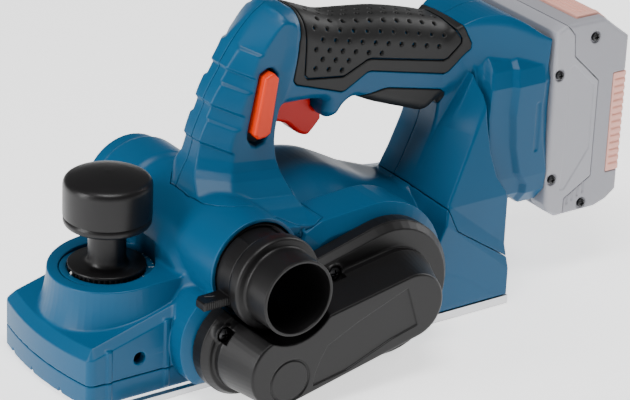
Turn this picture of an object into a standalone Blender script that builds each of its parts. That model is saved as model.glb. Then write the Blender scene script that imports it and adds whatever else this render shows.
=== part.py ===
"""Cordless hand planer, 82 mm planing width, as separate pieces.

Frame: X runs from the front knob to the battery, the belt cover is on the -Y side and Z points
up. The sole rests on Z = 0, and the origin is on its flat underside behind the drum.
All sizes below are millimetres; finish_mesh turns them into metres.
"""
import math

import bmesh
import bpy
from mathutils import Matrix, Vector

MM = 0.001
GAP = 0.3                      # play between neighbouring pieces

# overall body
SHOE_FRONT = -191.7
SHOE_CORNER = -186.7
SHOE_BACK = -124.0
HALF_WIDTH = 43.0              # half of the planing side walls
BODY_LEFT = -51.0              # left side face behind the belt cover
SOLE_BACK = 73.0
SOLE_TOP = 5.0
SHOE_LIFT = 1.6                # greatest planing depth: the shoe sits this far above the sole
PARTING_Z = 13.35              # parting line between the nose and the shoe skirt
RIM_Z = 32.0                   # top of the nose side wall at its front end
RIM_SLOPE = 0.268

# knob
KNOB_X = -151.6
DISK_R = 20.4
DISK_TOP = 57.7
RING_R = 24.8
CAP_R = 23.0
CAP_SEAM = 82.5
KNOB_TOP = 108.4
NECK_R = 9.9
SPINDLE_R = 4.0

# drum and motor, both turning about axes along Y
DRUM_X = -109.5
DRUM_Z = 27.4
DRUM_R = 26.2
DRUM_HALF = 41.0
MOTOR_X = -22.0
MOTOR_Z = 38.2
MOTOR_CAN_R = 25.0
DRUM_PULLEY_R = 8.0
MOTOR_PULLEY_R = 6.0
BELT_THICK = 1.2
BELT_LEFT = -73.0
BELT_RIGHT = -63.0

# chip duct
DUCT_X = -100.5
DUCT_Z = 66.4
DUCT_R = 28.0
DUCT_BORE = 25.3
BARREL_END = 65.0     # the barrel stands out past the casing on the side away from the cover
TUBE_R = 20.5
TUBE_END = -99.0
FLANGE_R = 25.2

# belt cover: steps outwards from the housing, each an outline around the drum and motor axes
COVER_BASE = -58.3
COVER_RIM = -66.0
COVER_STEP = -70.0
COVER_FACE = -97.0
COVER_DRUM_R = 26.4
COVER_MOTOR_R = 37.2
COVER_WALL = 2.4
NOTCH_R = 26.3

# battery foot and pack
PLATE_X = 105.5
PACK_BACK = 156.9
PACK_HALF = 37.5
PACK_LOW = 37.0
PACK_TOP = 150.0

# controls in the handle
TRIGGER_PIVOT = (-53.5, 0, 129.5)
LOCK_CENTRE = (-71, 0, 132)

BLUE = ("blue_plastic", (0.012, 0.135, 0.32), 0.42, 0.0)
BLACK = ("black_plastic", (0.022, 0.021, 0.022), 0.5, 0.0)
RUBBER = ("black_rubber", (0.018, 0.017, 0.017), 0.6, 0.0)
RED = ("red_plastic", (0.73, 0.03, 0.01), 0.4, 0.0)
ORANGE = ("orange_plastic", (0.85, 0.08, 0.004), 0.4, 0.0)
ALLOY = ("light_alloy", (0.62, 0.62, 0.63), 0.35, 1.0)
STEEL = ("steel", (0.5, 0.5, 0.5), 0.3, 1.0)
COPPER = ("copper", (0.7, 0.33, 0.2), 0.35, 1.0)
PALE = ("pale_grey_plastic", (0.38, 0.38, 0.42), 0.5, 0.0)
SALMON = ("salmon_plastic", (0.8, 0.42, 0.3), 0.5, 0.0)


# ---------------------------------------------------------------- tools

def finish_mesh(name, bm, look):
    """Turn a mesh drawn in millimetres into a scene object of the given look."""
    bmesh.ops.remove_doubles(bm, verts=bm.verts, dist=0.001)
    bmesh.ops.recalc_face_normals(bm, faces=bm.faces)
    if bm.calc_volume(signed=True) < 0:
        bmesh.ops.reverse_faces(bm, faces=bm.faces)
    bmesh.ops.scale(bm, vec=(MM, MM, MM), verts=bm.verts)
    mesh = bpy.data.meshes.new(name)
    bm.to_mesh(mesh)
    bm.free()
    mesh.materials.append(material(*look))
    obj = bpy.data.objects.new(name, mesh)
    bpy.context.scene.collection.objects.link(obj)
    return obj


def material(name, colour, roughness, metallic):
    found = bpy.data.materials.get(name)
    if found:
        return found
    made = bpy.data.materials.new(name)
    made.use_nodes = True
    shader = made.node_tree.nodes["Principled BSDF"]
    shader.inputs["Base Color"].default_value = (*colour, 1.0)
    shader.inputs["Roughness"].default_value = roughness
    shader.inputs["Metallic"].default_value = metallic
    return made


def prism(name, outline, low, high, look, axis="Y"):
    """Extrude a closed outline along an axis: (x, z) along Y, (x, y) along Z, (y, z) along X."""
    place = {
        "Y": lambda a, b, h: (a, h, b),
        "Z": lambda a, b, h: (a, b, h),
        "X": lambda a, b, h: (h, a, b),
    }[axis]
    bm = bmesh.new()
    bottom = [bm.verts.new(place(a, b, low)) for a, b in outline]
    top = [bm.verts.new(place(a, b, high)) for a, b in outline]
    bm.faces.new(bottom)
    bm.faces.new(top)
    count = len(outline)
    for i in range(count):
        j = (i + 1) % count
        bm.faces.new((bottom[i], bottom[j], top[j], top[i]))
    return finish_mesh(name, bm, look)


def box(name, low, high, look=BLACK):
    (x0, y0, z0), (x1, y1, z1) = low, high
    return prism(name, [(x0, y0), (x1, y0), (x1, y1), (x0, y1)], z0, z1, look, "Z")


def turned(name, profile, centre, axis, look, steps=32):
    """Turn a profile of (radius, height) points about an axis through centre.

    A profile that starts and ends at radius 0 is a solid; any other is closed into a ring.
    """
    bm = bmesh.new()
    rings = []
    for radius, height in profile:
        if radius == 0:
            rings.append([bm.verts.new((0, 0, height))])
            continue
        angles = [2 * math.pi * i / steps for i in range(steps)]
        rings.append([bm.verts.new((radius * math.cos(a), radius * math.sin(a), height)) for a in angles])
    pairs = list(zip(rings, rings[1:]))
    if profile[0][0] != 0:
        pairs.append((rings[-1], rings[0]))
    for lower, upper in pairs:
        for i in range(steps):
            j = (i + 1) % steps
            corners = [lower[i % len(lower)], lower[j % len(lower)], upper[j % len(upper)], upper[i % len(upper)]]
            bm.faces.new(list(dict.fromkeys(corners)))
    turn = {"Z": Matrix(), "Y": Matrix.Rotation(math.radians(-90), 4, "X"), "X": Matrix.Rotation(math.radians(90), 4, "Y")}
    bmesh.ops.transform(bm, matrix=Matrix.Translation(Vector(centre)) @ turn[axis], verts=bm.verts)
    return finish_mesh(name, bm, look)


def rod(name, centre, axis, radius, low, high, look=BLACK, steps=32):
    return turned(name, [(0, low), (radius, low), (radius, high), (0, high)], centre, axis, look, steps)


def ring(name, centre, axis, inner, outer, low, high, look, steps=32):
    profile = [(inner, low), (outer, low), (outer, high), (inner, high)]
    return turned(name, profile, centre, axis, look, steps)


def helper(obj):
    obj.hide_render = True
    obj.display_type = "WIRE"
    return obj


def combine(target, operation, others):
    for other in others:
        step = target.modifiers.new(other.name, "BOOLEAN")
        step.operation = operation
        step.solver = "EXACT"
        step.object = helper(other)
    return target


def subtract(target, *cutters):
    return combine(target, "DIFFERENCE", cutters)


def unite(target, *parts):
    return combine(target, "UNION", parts)


def seal(target):
    """Close the hairline cracks that cuts between many-sided faces can leave."""
    weld = target.modifiers.new("seal", "WELD")
    weld.merge_threshold = 0.00002


def arc(cx, cy, radius, start, end, steps):
    """Points on an arc, from the start angle to the end angle in degrees."""
    angles = [math.radians(start + (end - start) * i / steps) for i in range(steps + 1)]
    return [(cx + radius * math.cos(a), cy + radius * math.sin(a)) for a in angles]


def belt_outline(front, back, front_r, back_r, steps=12):
    """Outline of a belt around two circles, joined by their outer tangents."""
    dx = back[0] - front[0]
    dz = back[1] - front[1]
    heading = math.degrees(math.atan2(dz, dx))
    lean = math.degrees(math.asin((back_r - front_r) / math.hypot(dx, dz)))
    around_front = arc(*front, front_r, heading + 90 + lean, heading + 270 - lean, steps)
    around_back = arc(*back, back_r, heading - 90 - lean, heading + 90 + lean, steps + 4)
    return around_front + around_back


def clip_low(outline, floor):
    """Keep an outline from dropping below a floor height."""
    return [(x, max(z, floor)) for x, z in outline]


DRUM = (DRUM_X, DRUM_Z)
MOTOR = (MOTOR_X, MOTOR_Z)


def rim_height(x):
    return RIM_Z + RIM_SLOPE * (x - SHOE_FRONT)


def nose_plan(inset, back):
    """Plan outline of the nose: a bowed front between two rounded corners."""
    bow = SHOE_CORNER - SHOE_FRONT
    half = HALF_WIDTH - inset
    corner = 5.0
    front = []
    for i in range(9):
        y = -half + corner + (2 * half - 2 * corner) * i / 8
        front.append((SHOE_FRONT + inset + bow * (y / half) ** 2, y))
    corner_x = SHOE_CORNER + inset + corner
    return [(back, -half), (corner_x, -half)] + front + [(corner_x, half), (back, half)]


# ---------------------------------------------------------------- housing

def nose_block(name):
    bm = bmesh.new()
    plan = nose_plan(0.0, -95.0)
    bottom = [bm.verts.new((x, y, PARTING_Z + GAP)) for x, y in plan]
    top = [bm.verts.new((x, y, rim_height(x))) for x, y in plan]
    bm.faces.new(bottom)
    bm.faces.new(top)
    for i in range(len(plan)):
        j = (i + 1) % len(plan)
        bm.faces.new((bottom[i], bottom[j], top[j], top[i]))
    return finish_mesh(name, bm, BLUE)


MID_TOP = [(-112, 80), (-76, 84), (-50, 83), (-23, 84), (-10, 81.5), (3, 74), (17, 66), (30, 60), (45, 53), (SOLE_BACK, 40)]


def mid_outline(lift):
    """Side outline of the motor housing, with its top raised by lift."""
    return [(-128, 14), (-128, 45)] + [(x, z + lift) for x, z in MID_TOP] + [(SOLE_BACK, SOLE_TOP + GAP), (-100, SOLE_TOP + GAP)]


def main_housing():
    housing = nose_block("main_housing")
    tail = box("pedestal_tail", (KNOB_X, -34.5, 34), (-98, 34.5, DISK_TOP - 0.1), BLUE)
    pedestal = turned("pedestal", [(0, 26), (38.5, 26), (37, 38), (34.5, DISK_TOP - 0.1), (0, DISK_TOP - 0.1)], (KNOB_X, 0, 0), "Z", BLUE, 40)
    barrel = turned(
        "barrel",
        [(0, COVER_BASE - 1), (27.3, COVER_BASE - 1), (DUCT_R, COVER_BASE + 3), (DUCT_R, 54), (27.2, 56),
         (27.2, BARREL_END - 1), (26.4, BARREL_END), (0, BARREL_END)],
        (DUCT_X, 0, DUCT_Z), "Y", BLUE, 40)
    middle = prism("motor_housing", mid_outline(0), BODY_LEFT, HALF_WIDTH, BLUE)
    arch = prism("cover_arch", clip_low(belt_outline(DRUM, MOTOR, COVER_DRUM_R + 2, COVER_MOTOR_R + 3), 5.4), COVER_BASE + GAP, -40, BLUE)
    unite(housing, pedestal, tail, barrel, middle, arch)
    chamber = rod("drum_chamber", (DRUM_X, 0, DRUM_Z), "Y", DRUM_R + 2.2, -44, 41.3)
    mouth = box("mouth", (DRUM_X - 27, -44, -1), (DRUM_X + 22, 41.3, 20))
    motor_bore = rod("motor_bore", (MOTOR_X, 0, MOTOR_Z), "Y", MOTOR_CAN_R + GAP, -46, 26)
    motor_seat = rod("motor_seat", (MOTOR_X, 0, MOTOR_Z), "Y", 11.3, -62, 34)
    drum_seat = rod("drum_seat", (DRUM_X, 0, DRUM_Z), "Y", 13.3, -62, -40)
    duct_bore = rod("duct_bore", (DUCT_X, 0, DUCT_Z), "Y", DUCT_BORE, -62, BARREL_END + 2, steps=40)
    nose_hollow = box("nose_hollow", (-182, -38, 10), (-136, 38, 27))
    knob_recess = rod("knob_recess", (KNOB_X, 0, 0), "Z", RING_R, DISK_TOP - 4.5, DISK_TOP + 5)
    spindle_bore = rod("spindle_bore", (KNOB_X, 0, 0), "Z", SPINDLE_R + 0.6, 10, DISK_TOP)
    guide_hole = rod("guide_hole", (-157.5, 0, 22.8), "Y", 2.7, -50, -30, steps=16)
    subtract(housing, chamber, mouth, motor_bore, motor_seat, drum_seat, duct_bore, nose_hollow, knob_recess, spindle_bore, guide_hole)
    boss = ring("drum_boss", (DRUM_X, 0, DRUM_Z), "Y", 11.3, 13.6, 32.7, 42.5, BLUE)
    unite(housing, boss)
    return housing


# ---------------------------------------------------------------- handle

COLUMN = [
    (-116, 70), (-109.5, 109.4), (-104.6, 126), (-97.3, 143.1), (-88.9, 160.9), (-81, 171), (-72, 178.5), (-62, 182.7),
    (-52, 182), (-46, 179.6), (-46, 130), (-57, 130), (-62, 118), (-62.5, 100), (-58, 88), (-48, 70),
]
GRIP = [
    (-56, 172), (-43.6, 177.8), (-22, 170.2), (-4, 168.2), (13.6, 165.6), (50.7, 155.4), (62, 157),
    (72, 158.3), (80, 157.8), (80, 128), (47, 116), (33, 109.5), (0, 121.5), (-14, 124.5), (-22, 117.5), (-28, 117.5), (-31, 128), (-60, 130),
]
REAR = [(20, 56), (27, 74), (37, 109), (45, 119), (57.5, 134), (57.5, 150), (62, 157), (80, 157.8), (97, 149.6), (97, 50), (75, 56), (SOLE_BACK - 0.2, 30)]
PLATE = [(12, 40.5), (27, 47.5), (34, 56), (34, 130), (27, 134.5), (11, 144.3)]


def handle_shell(side):
    """One half of the handle; side is -1 for left and 1 for right."""
    name = "handle_left" if side < 0 else "handle_right"
    inner = side * GAP / 2
    shell = prism(name, COLUMN, inner, side * 19.5, BLUE)
    grip = prism(name + "_grip", GRIP, inner, side * 17.5, BLUE)
    rear = prism(name + "_rear", REAR, inner, side * 25, BLUE)
    half_plate = [(inner, 40.5)] + [(side * y, z) for y, z in PLATE] + [(inner, 144.3)]
    plate = prism(name + "_plate", half_plate, 84, PLATE_X, BLUE, "X")
    rail = box(name + "_rail", (PLATE_X - 2, min(side * 18, side * 24), 52), (108.6, max(side * 18, side * 24), 138), BLUE)
    rail_lip = box(name + "_rail_lip", (108, min(side * 18, side * 27), 52), (110.4, max(side * 18, side * 27), 138), BLUE)
    unite(shell, grip, rear, plate, rail, rail_lip)
    seat = prism(name + "_seat", mid_outline(GAP), -60, 60, BLUE)
    barrel = rod(name + "_barrel", (DUCT_X, 0, DUCT_Z), "Y", DUCT_R + GAP, -60, 60, steps=40)
    pockets = [
        ("switch", (-53, -10.5, 131), (12, 10.5, 158)),
        ("trigger", (-60, -7.6, 104), (-31.5, 7.6, 135)),
        ("lock", (-79.5, -12.5, 112), (-61.5, 12.5, 156)),
        ("module", (46, -17, 78), (82, 17, 142)),
        ("terminal", (80, -13, 66), (PLATE_X + 1, 13, 112)),
        ("wires", (8, -4, 133), (60, 4, 141)),
    ]
    cutters = [box(name + "_" + part + "_pocket", low, high) for part, low, high in pockets]
    subtract(shell, seat, barrel, *cutters)
    if side < 0:
        subtract(shell, box(name + "_lock_slot", (-78, -30, 113.5), (-63, -12, 152)))
    if side > 0:
        for index, (x, z) in enumerate(SCREW_PLACES):
            subtract(shell, rod(f"case_screw_hole_{index + 1}", (x, 0, z), "Y", 4.2, 14.5, 60, steps=16))
    return shell


SCREW_PLACES = [(-90, 118), (24, 140), (66, 70)]


def case_screws():
    for index, (x, z) in enumerate(SCREW_PLACES):
        rod(f"case_screw_{index + 1}", (x, 0, z), "Y", 3.6, 14.8, 17, STEEL, 16)


def grip_parts():
    """Rubber pad over the top of the grip, with its border band, as a saddle outside the shells."""
    top = [(-43.5, 178.1), (-22, 170.6), (-4, 168.7), (13.6, 166.3), (48, 156.8)]
    lid = [(x, z + 1.6) for x, z in top]
    under = [(x, z + GAP) for x, z in reversed(top)]
    pad = prism("grip_pad", lid + under, -17.9, 17.9, RUBBER)
    for side in (-1, 1):
        flank = [(-45, 147), (-22, 143), (-6, 148), (46, 138), (55, 147)] + [(x, z) for x, z in reversed(lid)]
        cheek = prism(f"grip_cheek_{side}", flank, side * 17.8, side * 19.2, RUBBER)
        unite(pad, cheek)
    insert = prism("grip_underside", [(-8, 121.2), (0, 119.4), (33, 107.4), (35.6, 108.2), (33, 109.1), (0, 121.1), (-8, 122.8)], -13, 13, RUBBER)
    return pad, insert


# ---------------------------------------------------------------- belt cover, duct and tube

def belt_cover():
    rim = clip_low(belt_outline(DRUM, MOTOR, COVER_DRUM_R, COVER_MOTOR_R), 1.0)
    face = clip_low(belt_outline(DRUM, MOTOR, COVER_DRUM_R - 2.3, COVER_MOTOR_R - 3.8), 2.6)
    cover = prism("belt_cover", rim, COVER_RIM, COVER_BASE, BLACK)
    bevel = loft("cover_bevel", rim, COVER_RIM + 0.5, face, COVER_STEP, BLACK)
    foot = belt_outline(DRUM, MOTOR, 21.5, 26.0)
    top = belt_outline((DRUM_X + 2, DRUM_Z - 1), (MOTOR_X - 3, MOTOR_Z + 3), 19.6, 18.2)
    plateau = loft("cover_plateau", foot, COVER_STEP + 1, top, COVER_FACE, BLACK)
    unite(cover, bevel, plateau)
    inner_foot = belt_outline(DRUM, MOTOR, 19.0, 22.0)
    inner_top = belt_outline((DRUM_X + 2, DRUM_Z - 1), (MOTOR_X - 3, MOTOR_Z + 3), 16.0, 15.0)
    hollow = loft("cover_hollow", inner_foot, COVER_BASE + 5, inner_top, COVER_FACE + COVER_WALL, BLACK)
    notch = rod("tube_notch", (DUCT_X, 0, DUCT_Z), "Y", NOTCH_R, -105, -50, steps=40)
    lip_room = rod("duct_lip_room", (DUCT_X, 0, DUCT_Z), "Y", DUCT_R + 0.5, COVER_BASE - 1.6, -50, steps=40)
    wall = rod("notch_wall", (DUCT_X, 0, DUCT_Z), "Y", NOTCH_R + 1.6, -105, -50, steps=40)
    subtract(hollow, wall)
    holes = [rod(f"cover_screw_hole_{index}", (x, 0, z), "Y", 3.9, -74, COVER_STEP + 2.2, steps=16) for index, (x, z) in enumerate(COVER_SCREWS)]
    subtract(cover, hollow, notch, lip_room, *holes)
    return cover


COVER_SCREWS = [(-125.0, 40.2), (-59.0, 58.3)]


def loft(name, outline, low, other, high, look):
    """Join two outlines of the same number of (x, z) points, at two Y positions, into a solid."""
    bm = bmesh.new()
    first = [bm.verts.new((x, low, z)) for x, z in outline]
    second = [bm.verts.new((x, high, z)) for x, z in other]
    bm.faces.new(first)
    bm.faces.new(second)
    count = len(outline)
    for i in range(count):
        j = (i + 1) % count
        bm.faces.new((first[i], first[j], second[j], second[i]))
    bmesh.ops.triangulate(bm, faces=[face for face in bm.faces if len(face.verts) == 4])
    return finish_mesh(name, bm, look)


def cover_screws():
    for name, (x, z) in zip(("cover_screw_front", "cover_screw_rear"), COVER_SCREWS):
        rod(name, (x, 0, z), "Y", 3.4, COVER_STEP - 1.6, COVER_STEP + 1.9, STEEL, 16)


def chip_duct():
    """Liner of the barrel, open below where the drum throws the chips in."""
    liner = ring("chip_duct", (DUCT_X, 0, DUCT_Z), "Y", 22.6, DUCT_BORE - GAP, -61, BARREL_END - 1, BLACK, 40)
    throat = rod("duct_throat", (DRUM_X, 0, DRUM_Z), "Y", DRUM_R + 2.0, -43, 41)
    return subtract(liner, throat)


def chip_deflector():
    """Turning sleeve between the duct and the tube, with its thumb tab."""
    sleeve = ring("chip_deflector", (DUCT_X, 0, DUCT_Z), "Y", 22.6, DUCT_BORE - 0.5, -69, -61.6, BLACK, 40)
    tab = box("deflector_tab", (DUCT_X - 43, -69, DUCT_Z - 14.5), (DUCT_X - 21, -62, DUCT_Z - 10.5), BLACK)
    trim = rod("deflector_trim", (DUCT_X, 0, DUCT_Z), "Y", 22.6, -75, -50, steps=40)
    return subtract(unite(sleeve, tab), trim)


def chip_tube():
    """Round port pushed into the duct: spigot, flange and outer tube."""
    profile = [
        (22.2, -50), (22.2, -70), (FLANGE_R - 1, -70.5), (FLANGE_R, -76), (FLANGE_R, -80), (FLANGE_R - 1, -81),
        (TUBE_R + 0.6, -82), (TUBE_R, TUBE_END), (TUBE_R - 1.8, TUBE_END), (TUBE_R - 1.8, -50),
    ]
    return turned("chip_tube", profile, (DUCT_X, 0, DUCT_Z), "Y", BLACK, 40)


# ---------------------------------------------------------------- front shoe and knob

def front_shoe():
    cutter = rod("shoe_drum_clearance", (DRUM_X, 0, DRUM_Z), "Y", DRUM_R + 2.0, -60, 60)
    skirt = prism("shoe_skirt", nose_plan(0.0, SHOE_BACK), SHOE_LIFT, PARTING_Z, BLUE, "Z")
    subtract(skirt, prism("skirt_hollow", nose_plan(2.8, -90), 0, 20, BLUE, "Z"), cutter)
    shoe = prism("front_shoe", nose_plan(3.1, SHOE_BACK), SHOE_LIFT, SHOE_LIFT + 5.5, ALLOY, "Z")
    boss = rod("shoe_boss", (KNOB_X, 0, 0), "Z", 9.0, SHOE_LIFT + 4, 19, ALLOY)
    unite(shoe, boss)
    thread = rod("shoe_thread", (KNOB_X, 0, 0), "Z", SPINDLE_R + GAP, SHOE_LIFT + 3, 25)
    grooves = []
    for index, y in enumerate((-24, 0, 24)):
        groove = prism(f"v_groove_{index}", [(y - 3, 1.0), (y + 3, 1.0), (y, SHOE_LIFT + 2.2)], -200, -130, ALLOY, "X")
        grooves.append(groove)
    subtract(shoe, thread, cutter, *grooves)
    return skirt, shoe


def depth_knob():
    stem = turned(
        "knob_stem",
        [(4.3, 53.6), (DISK_R, 53.6), (DISK_R, DISK_TOP - 0.6), (DISK_R - 0.6, DISK_TOP), (NECK_R + 3, DISK_TOP),
         (NECK_R, DISK_TOP + 3), (NECK_R, CAP_SEAM - 4), (4.3, CAP_SEAM - 4)],
        (KNOB_X, 0, 0), "Z", BLACK)
    cap = turned(
        "knob_cap",
        [(0, CAP_SEAM - 3.7), (16, CAP_SEAM - 3.7), (21.5, CAP_SEAM - 2.2), (CAP_R, CAP_SEAM), (CAP_R, 99.5), (CAP_R - 0.3, 102.5),
         (21.6, 104.5), (17, 106.2), (10, 107.7), (0, KNOB_TOP)],
        (KNOB_X, 0, 0), "Z", BLACK)
    spindle = rod("depth_spindle", (KNOB_X, 0, 0), "Z", SPINDLE_R, SHOE_LIFT + 4.5, CAP_SEAM - 4.2, STEEL, 24)
    ring("scale_ring", (KNOB_X, 0, 0), "Z", DISK_R + 0.5, RING_R - GAP, DISK_TOP - 4.2, DISK_TOP - 1.0, BLUE, 40)
    return stem, cap, spindle


def shoe_spring():
    """Compression spring between the nose and the shoe boss, as a coil."""
    turns = 3
    per_turn = 16
    radius = 7.0
    low = 19.6
    high = 26.4
    wire = 0.7
    bm = bmesh.new()
    rings = []
    total = turns * per_turn
    for i in range(total + 1):
        angle = 2 * math.pi * i / per_turn
        height = low + wire + (high - low - 2 * wire) * i / total
        centre = Vector((radius * math.cos(angle), radius * math.sin(angle), height))
        outwards = Vector((math.cos(angle), math.sin(angle), 0))
        up = Vector((0, 0, 1))
        corners = [centre + outwards * wire * math.cos(t) + up * wire * math.sin(t) for t in [math.pi / 3 * k for k in range(6)]]
        rings.append([bm.verts.new(corner) for corner in corners])
    for first, second in zip(rings, rings[1:]):
        for k in range(6):
            m = (k + 1) % 6
            bm.faces.new((first[k], first[m], second[m], second[k]))
    bm.faces.new(rings[0])
    bm.faces.new(list(reversed(rings[-1])))
    bmesh.ops.translate(bm, vec=(KNOB_X, 0, 0), verts=bm.verts)
    return finish_mesh("shoe_spring", bm, STEEL)


# ---------------------------------------------------------------- drum, belt and motor

def drum():
    centre = (DRUM_X, 0, DRUM_Z)
    body = turned(
        "drum_body",
        [(0, -75.5), (4, -75.5), (4, -62), (6, -62), (6, -DRUM_HALF), (DRUM_R - 0.8, -DRUM_HALF), (DRUM_R, -DRUM_HALF + 0.8),
         (DRUM_R, DRUM_HALF - 0.8), (DRUM_R - 0.8, DRUM_HALF), (14.6, DRUM_HALF), (14.6, 31), (5, 31), (5, 40.5), (0, 40.5)],
        centre, "Y", ALLOY, 40)
    slot = box("blade_slot", (DRUM_X - 5, -45, DRUM_Z + 15.6), (DRUM_X + 4, 45, DRUM_Z + 40))
    subtract(body, slot)
    box("blade", (DRUM_X - 4.7, -40.8, DRUM_Z + 16.2), (DRUM_X - 3.6, 40.8, DRUM_Z + DRUM_R + 0.6), STEEL)
    clamp = box("blade_clamp", (DRUM_X - 3.2, -40.8, DRUM_Z + 16.0), (DRUM_X + 3.6, 40.8, DRUM_Z + DRUM_R - 1.2), ALLOY)
    for index, y in enumerate((-28, 0, 28)):
        screw_centre = (0, y, DRUM_Z + 20.5)
        subtract(clamp, rod(f"clamp_hole_{index + 1}", screw_centre, "X", 2.6, DRUM_X - 10, DRUM_X + 10, steps=16))
        rod(f"clamp_screw_{index + 1}", screw_centre, "X", 2.2, DRUM_X - 3.1, DRUM_X + 3.5, STEEL, 12)
    ring("drum_pulley", centre, "Y", 4.3, DRUM_PULLEY_R, BELT_LEFT, BELT_RIGHT, ALLOY, 24)
    ring("drum_bearing_left", centre, "Y", 6.3, 13, -56, -47, STEEL, 24)
    ring("drum_bearing_right", centre, "Y", 5.3, 11, 32.8, 40.2, STEEL, 24)
    return body


def drive_belt():
    outer = belt_outline(DRUM, MOTOR, DRUM_PULLEY_R + GAP + BELT_THICK, MOTOR_PULLEY_R + GAP + BELT_THICK)
    inner = belt_outline(DRUM, MOTOR, DRUM_PULLEY_R + GAP, MOTOR_PULLEY_R + GAP)
    belt = prism("drive_belt", outer, BELT_LEFT + 0.5, BELT_RIGHT - 0.5, RUBBER)
    return subtract(belt, prism("belt_inside", inner, BELT_LEFT - 5, BELT_RIGHT + 5, RUBBER))


def motor():
    centre = (MOTOR_X, 0, MOTOR_Z)
    turned(
        "armature_shaft",
        [(0, -75.5), (2.8, -75.5), (2.8, -58), (4, -58), (4, 31.5), (0, 31.5)],
        centre, "Y", STEEL, 20)
    ring("motor_pulley", centre, "Y", 3.1, MOTOR_PULLEY_R, BELT_LEFT, BELT_RIGHT, STEEL, 20)
    ring("motor_bearing_left", centre, "Y", 4.3, 11, -56, -48, STEEL, 24)
    ring("motor_bearing_right", centre, "Y", 4.3, 11, 24.5, 31, STEEL, 24)
    ring("cooling_fan", centre, "Y", 4.3, 9, -45, -35, BLACK, 18)
    fan = bpy.data.objects["cooling_fan"]
    for index in range(9):
        angle = math.radians(40 * index)
        vane = box(f"fan_vane_{index}", (7, -44.5, -0.8), (22, -36, 0.8))
        vane.data.transform(Matrix.Rotation(angle, 4, "Y"))
        vane.data.transform(Matrix.Translation(Vector(centre) * MM))
        unite(fan, vane)
    ring("armature_core", centre, "Y", 4.3, 15.5, -28, 6, COPPER, 24)
    core = bpy.data.objects["armature_core"]
    for index in range(8):
        angle = math.radians(45 * index)
        groove = box(f"core_slot_{index}", (12, -30, -1), (20, 8, 1))
        groove.data.transform(Matrix.Rotation(angle, 4, "Y"))
        groove.data.transform(Matrix.Translation(Vector(centre) * MM))
        subtract(core, groove)
    ring("commutator", centre, "Y", 4.3, 9, 9, 19, COPPER, 24)
    ring("motor_can", centre, "Y", 16.5, MOTOR_CAN_R - 0.2, -32, 8, STEEL, 32)
    holder = ring("brush_holder", centre, "Y", 12, MOTOR_CAN_R - 0.2, 10, 17, BLACK, 32)
    for name, sign in (("brush_upper", 1), ("brush_lower", -1)):
        low, high = sorted((MOTOR_Z + sign * 9.6, MOTOR_Z + sign * 21))
        box(name, (MOTOR_X - 3, 11, low), (MOTOR_X + 3, 16, high), BLACK)
        guide_low, guide_high = sorted((MOTOR_Z + sign * 9, MOTOR_Z + sign * 22))
        subtract(holder, box(name + "_guide", (MOTOR_X - 3.4, 10.6, guide_low), (MOTOR_X + 3.4, 16.4, guide_high)))


# ---------------------------------------------------------------- controls and electrics

def controls():
    finger = arc(-38.5, 99.5, 15.5, 150, 55, 6)
    trigger = prism("trigger", [(-58.5, 133), (-58.5, 116), (-54, 113)] + finger[1:] + [(-33.5, 116.5), (-33, 126), (-36, 128.4)], -7.2, 7.2, RED)
    lock_side = [(-66.6, 150.8), (-63.8, 149.6), (-66.8, 118.6), (-74, 114.6), (-77.2, 117.6), (-70.6, 149.4)]
    lock = prism("lock_button", lock_side, -21.6, -13, ORANGE)
    unite(lock, box("lock_body", (-75, -13.4, 118), (-67, -2, 146), ORANGE))
    box("switch_body", (-52.5, -10, 136.5), (11.5, 10, 157.5), BLACK)
    box("electronics_module", (46.5, -16.5, 78.5), (81.5, 16.5, 141.5), BLACK)
    terminal = box("battery_terminal", (84, -12.5, 66.5), (PLATE_X - 0.2, 12.5, 111.5), BLACK)
    for y in (-8, 0, 8):
        unite(terminal, box(f"contact_{y}", (100, y - 0.6, 72), (111.5, y + 0.6, 92), STEEL))
    return trigger, lock


# ---------------------------------------------------------------- battery pack

PACK_SEAM = [(119.2, 36), (119.2, 46.8), (137.2, 57), (137.2, 114), (119.2, 131.2), (118, 144), (111, 152)]


def pack_plan():
    """Side outline of the whole pack."""
    return [
        (PLATE_X + GAP, 46), (108, 41), (114, PACK_LOW), (142, PACK_LOW), (150, 39.5), (PACK_BACK, 44.5), (PACK_BACK, 136.5),
        (148, 143), (139, PACK_TOP), (112, PACK_TOP), (PLATE_X + GAP, 147),
    ]


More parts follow.
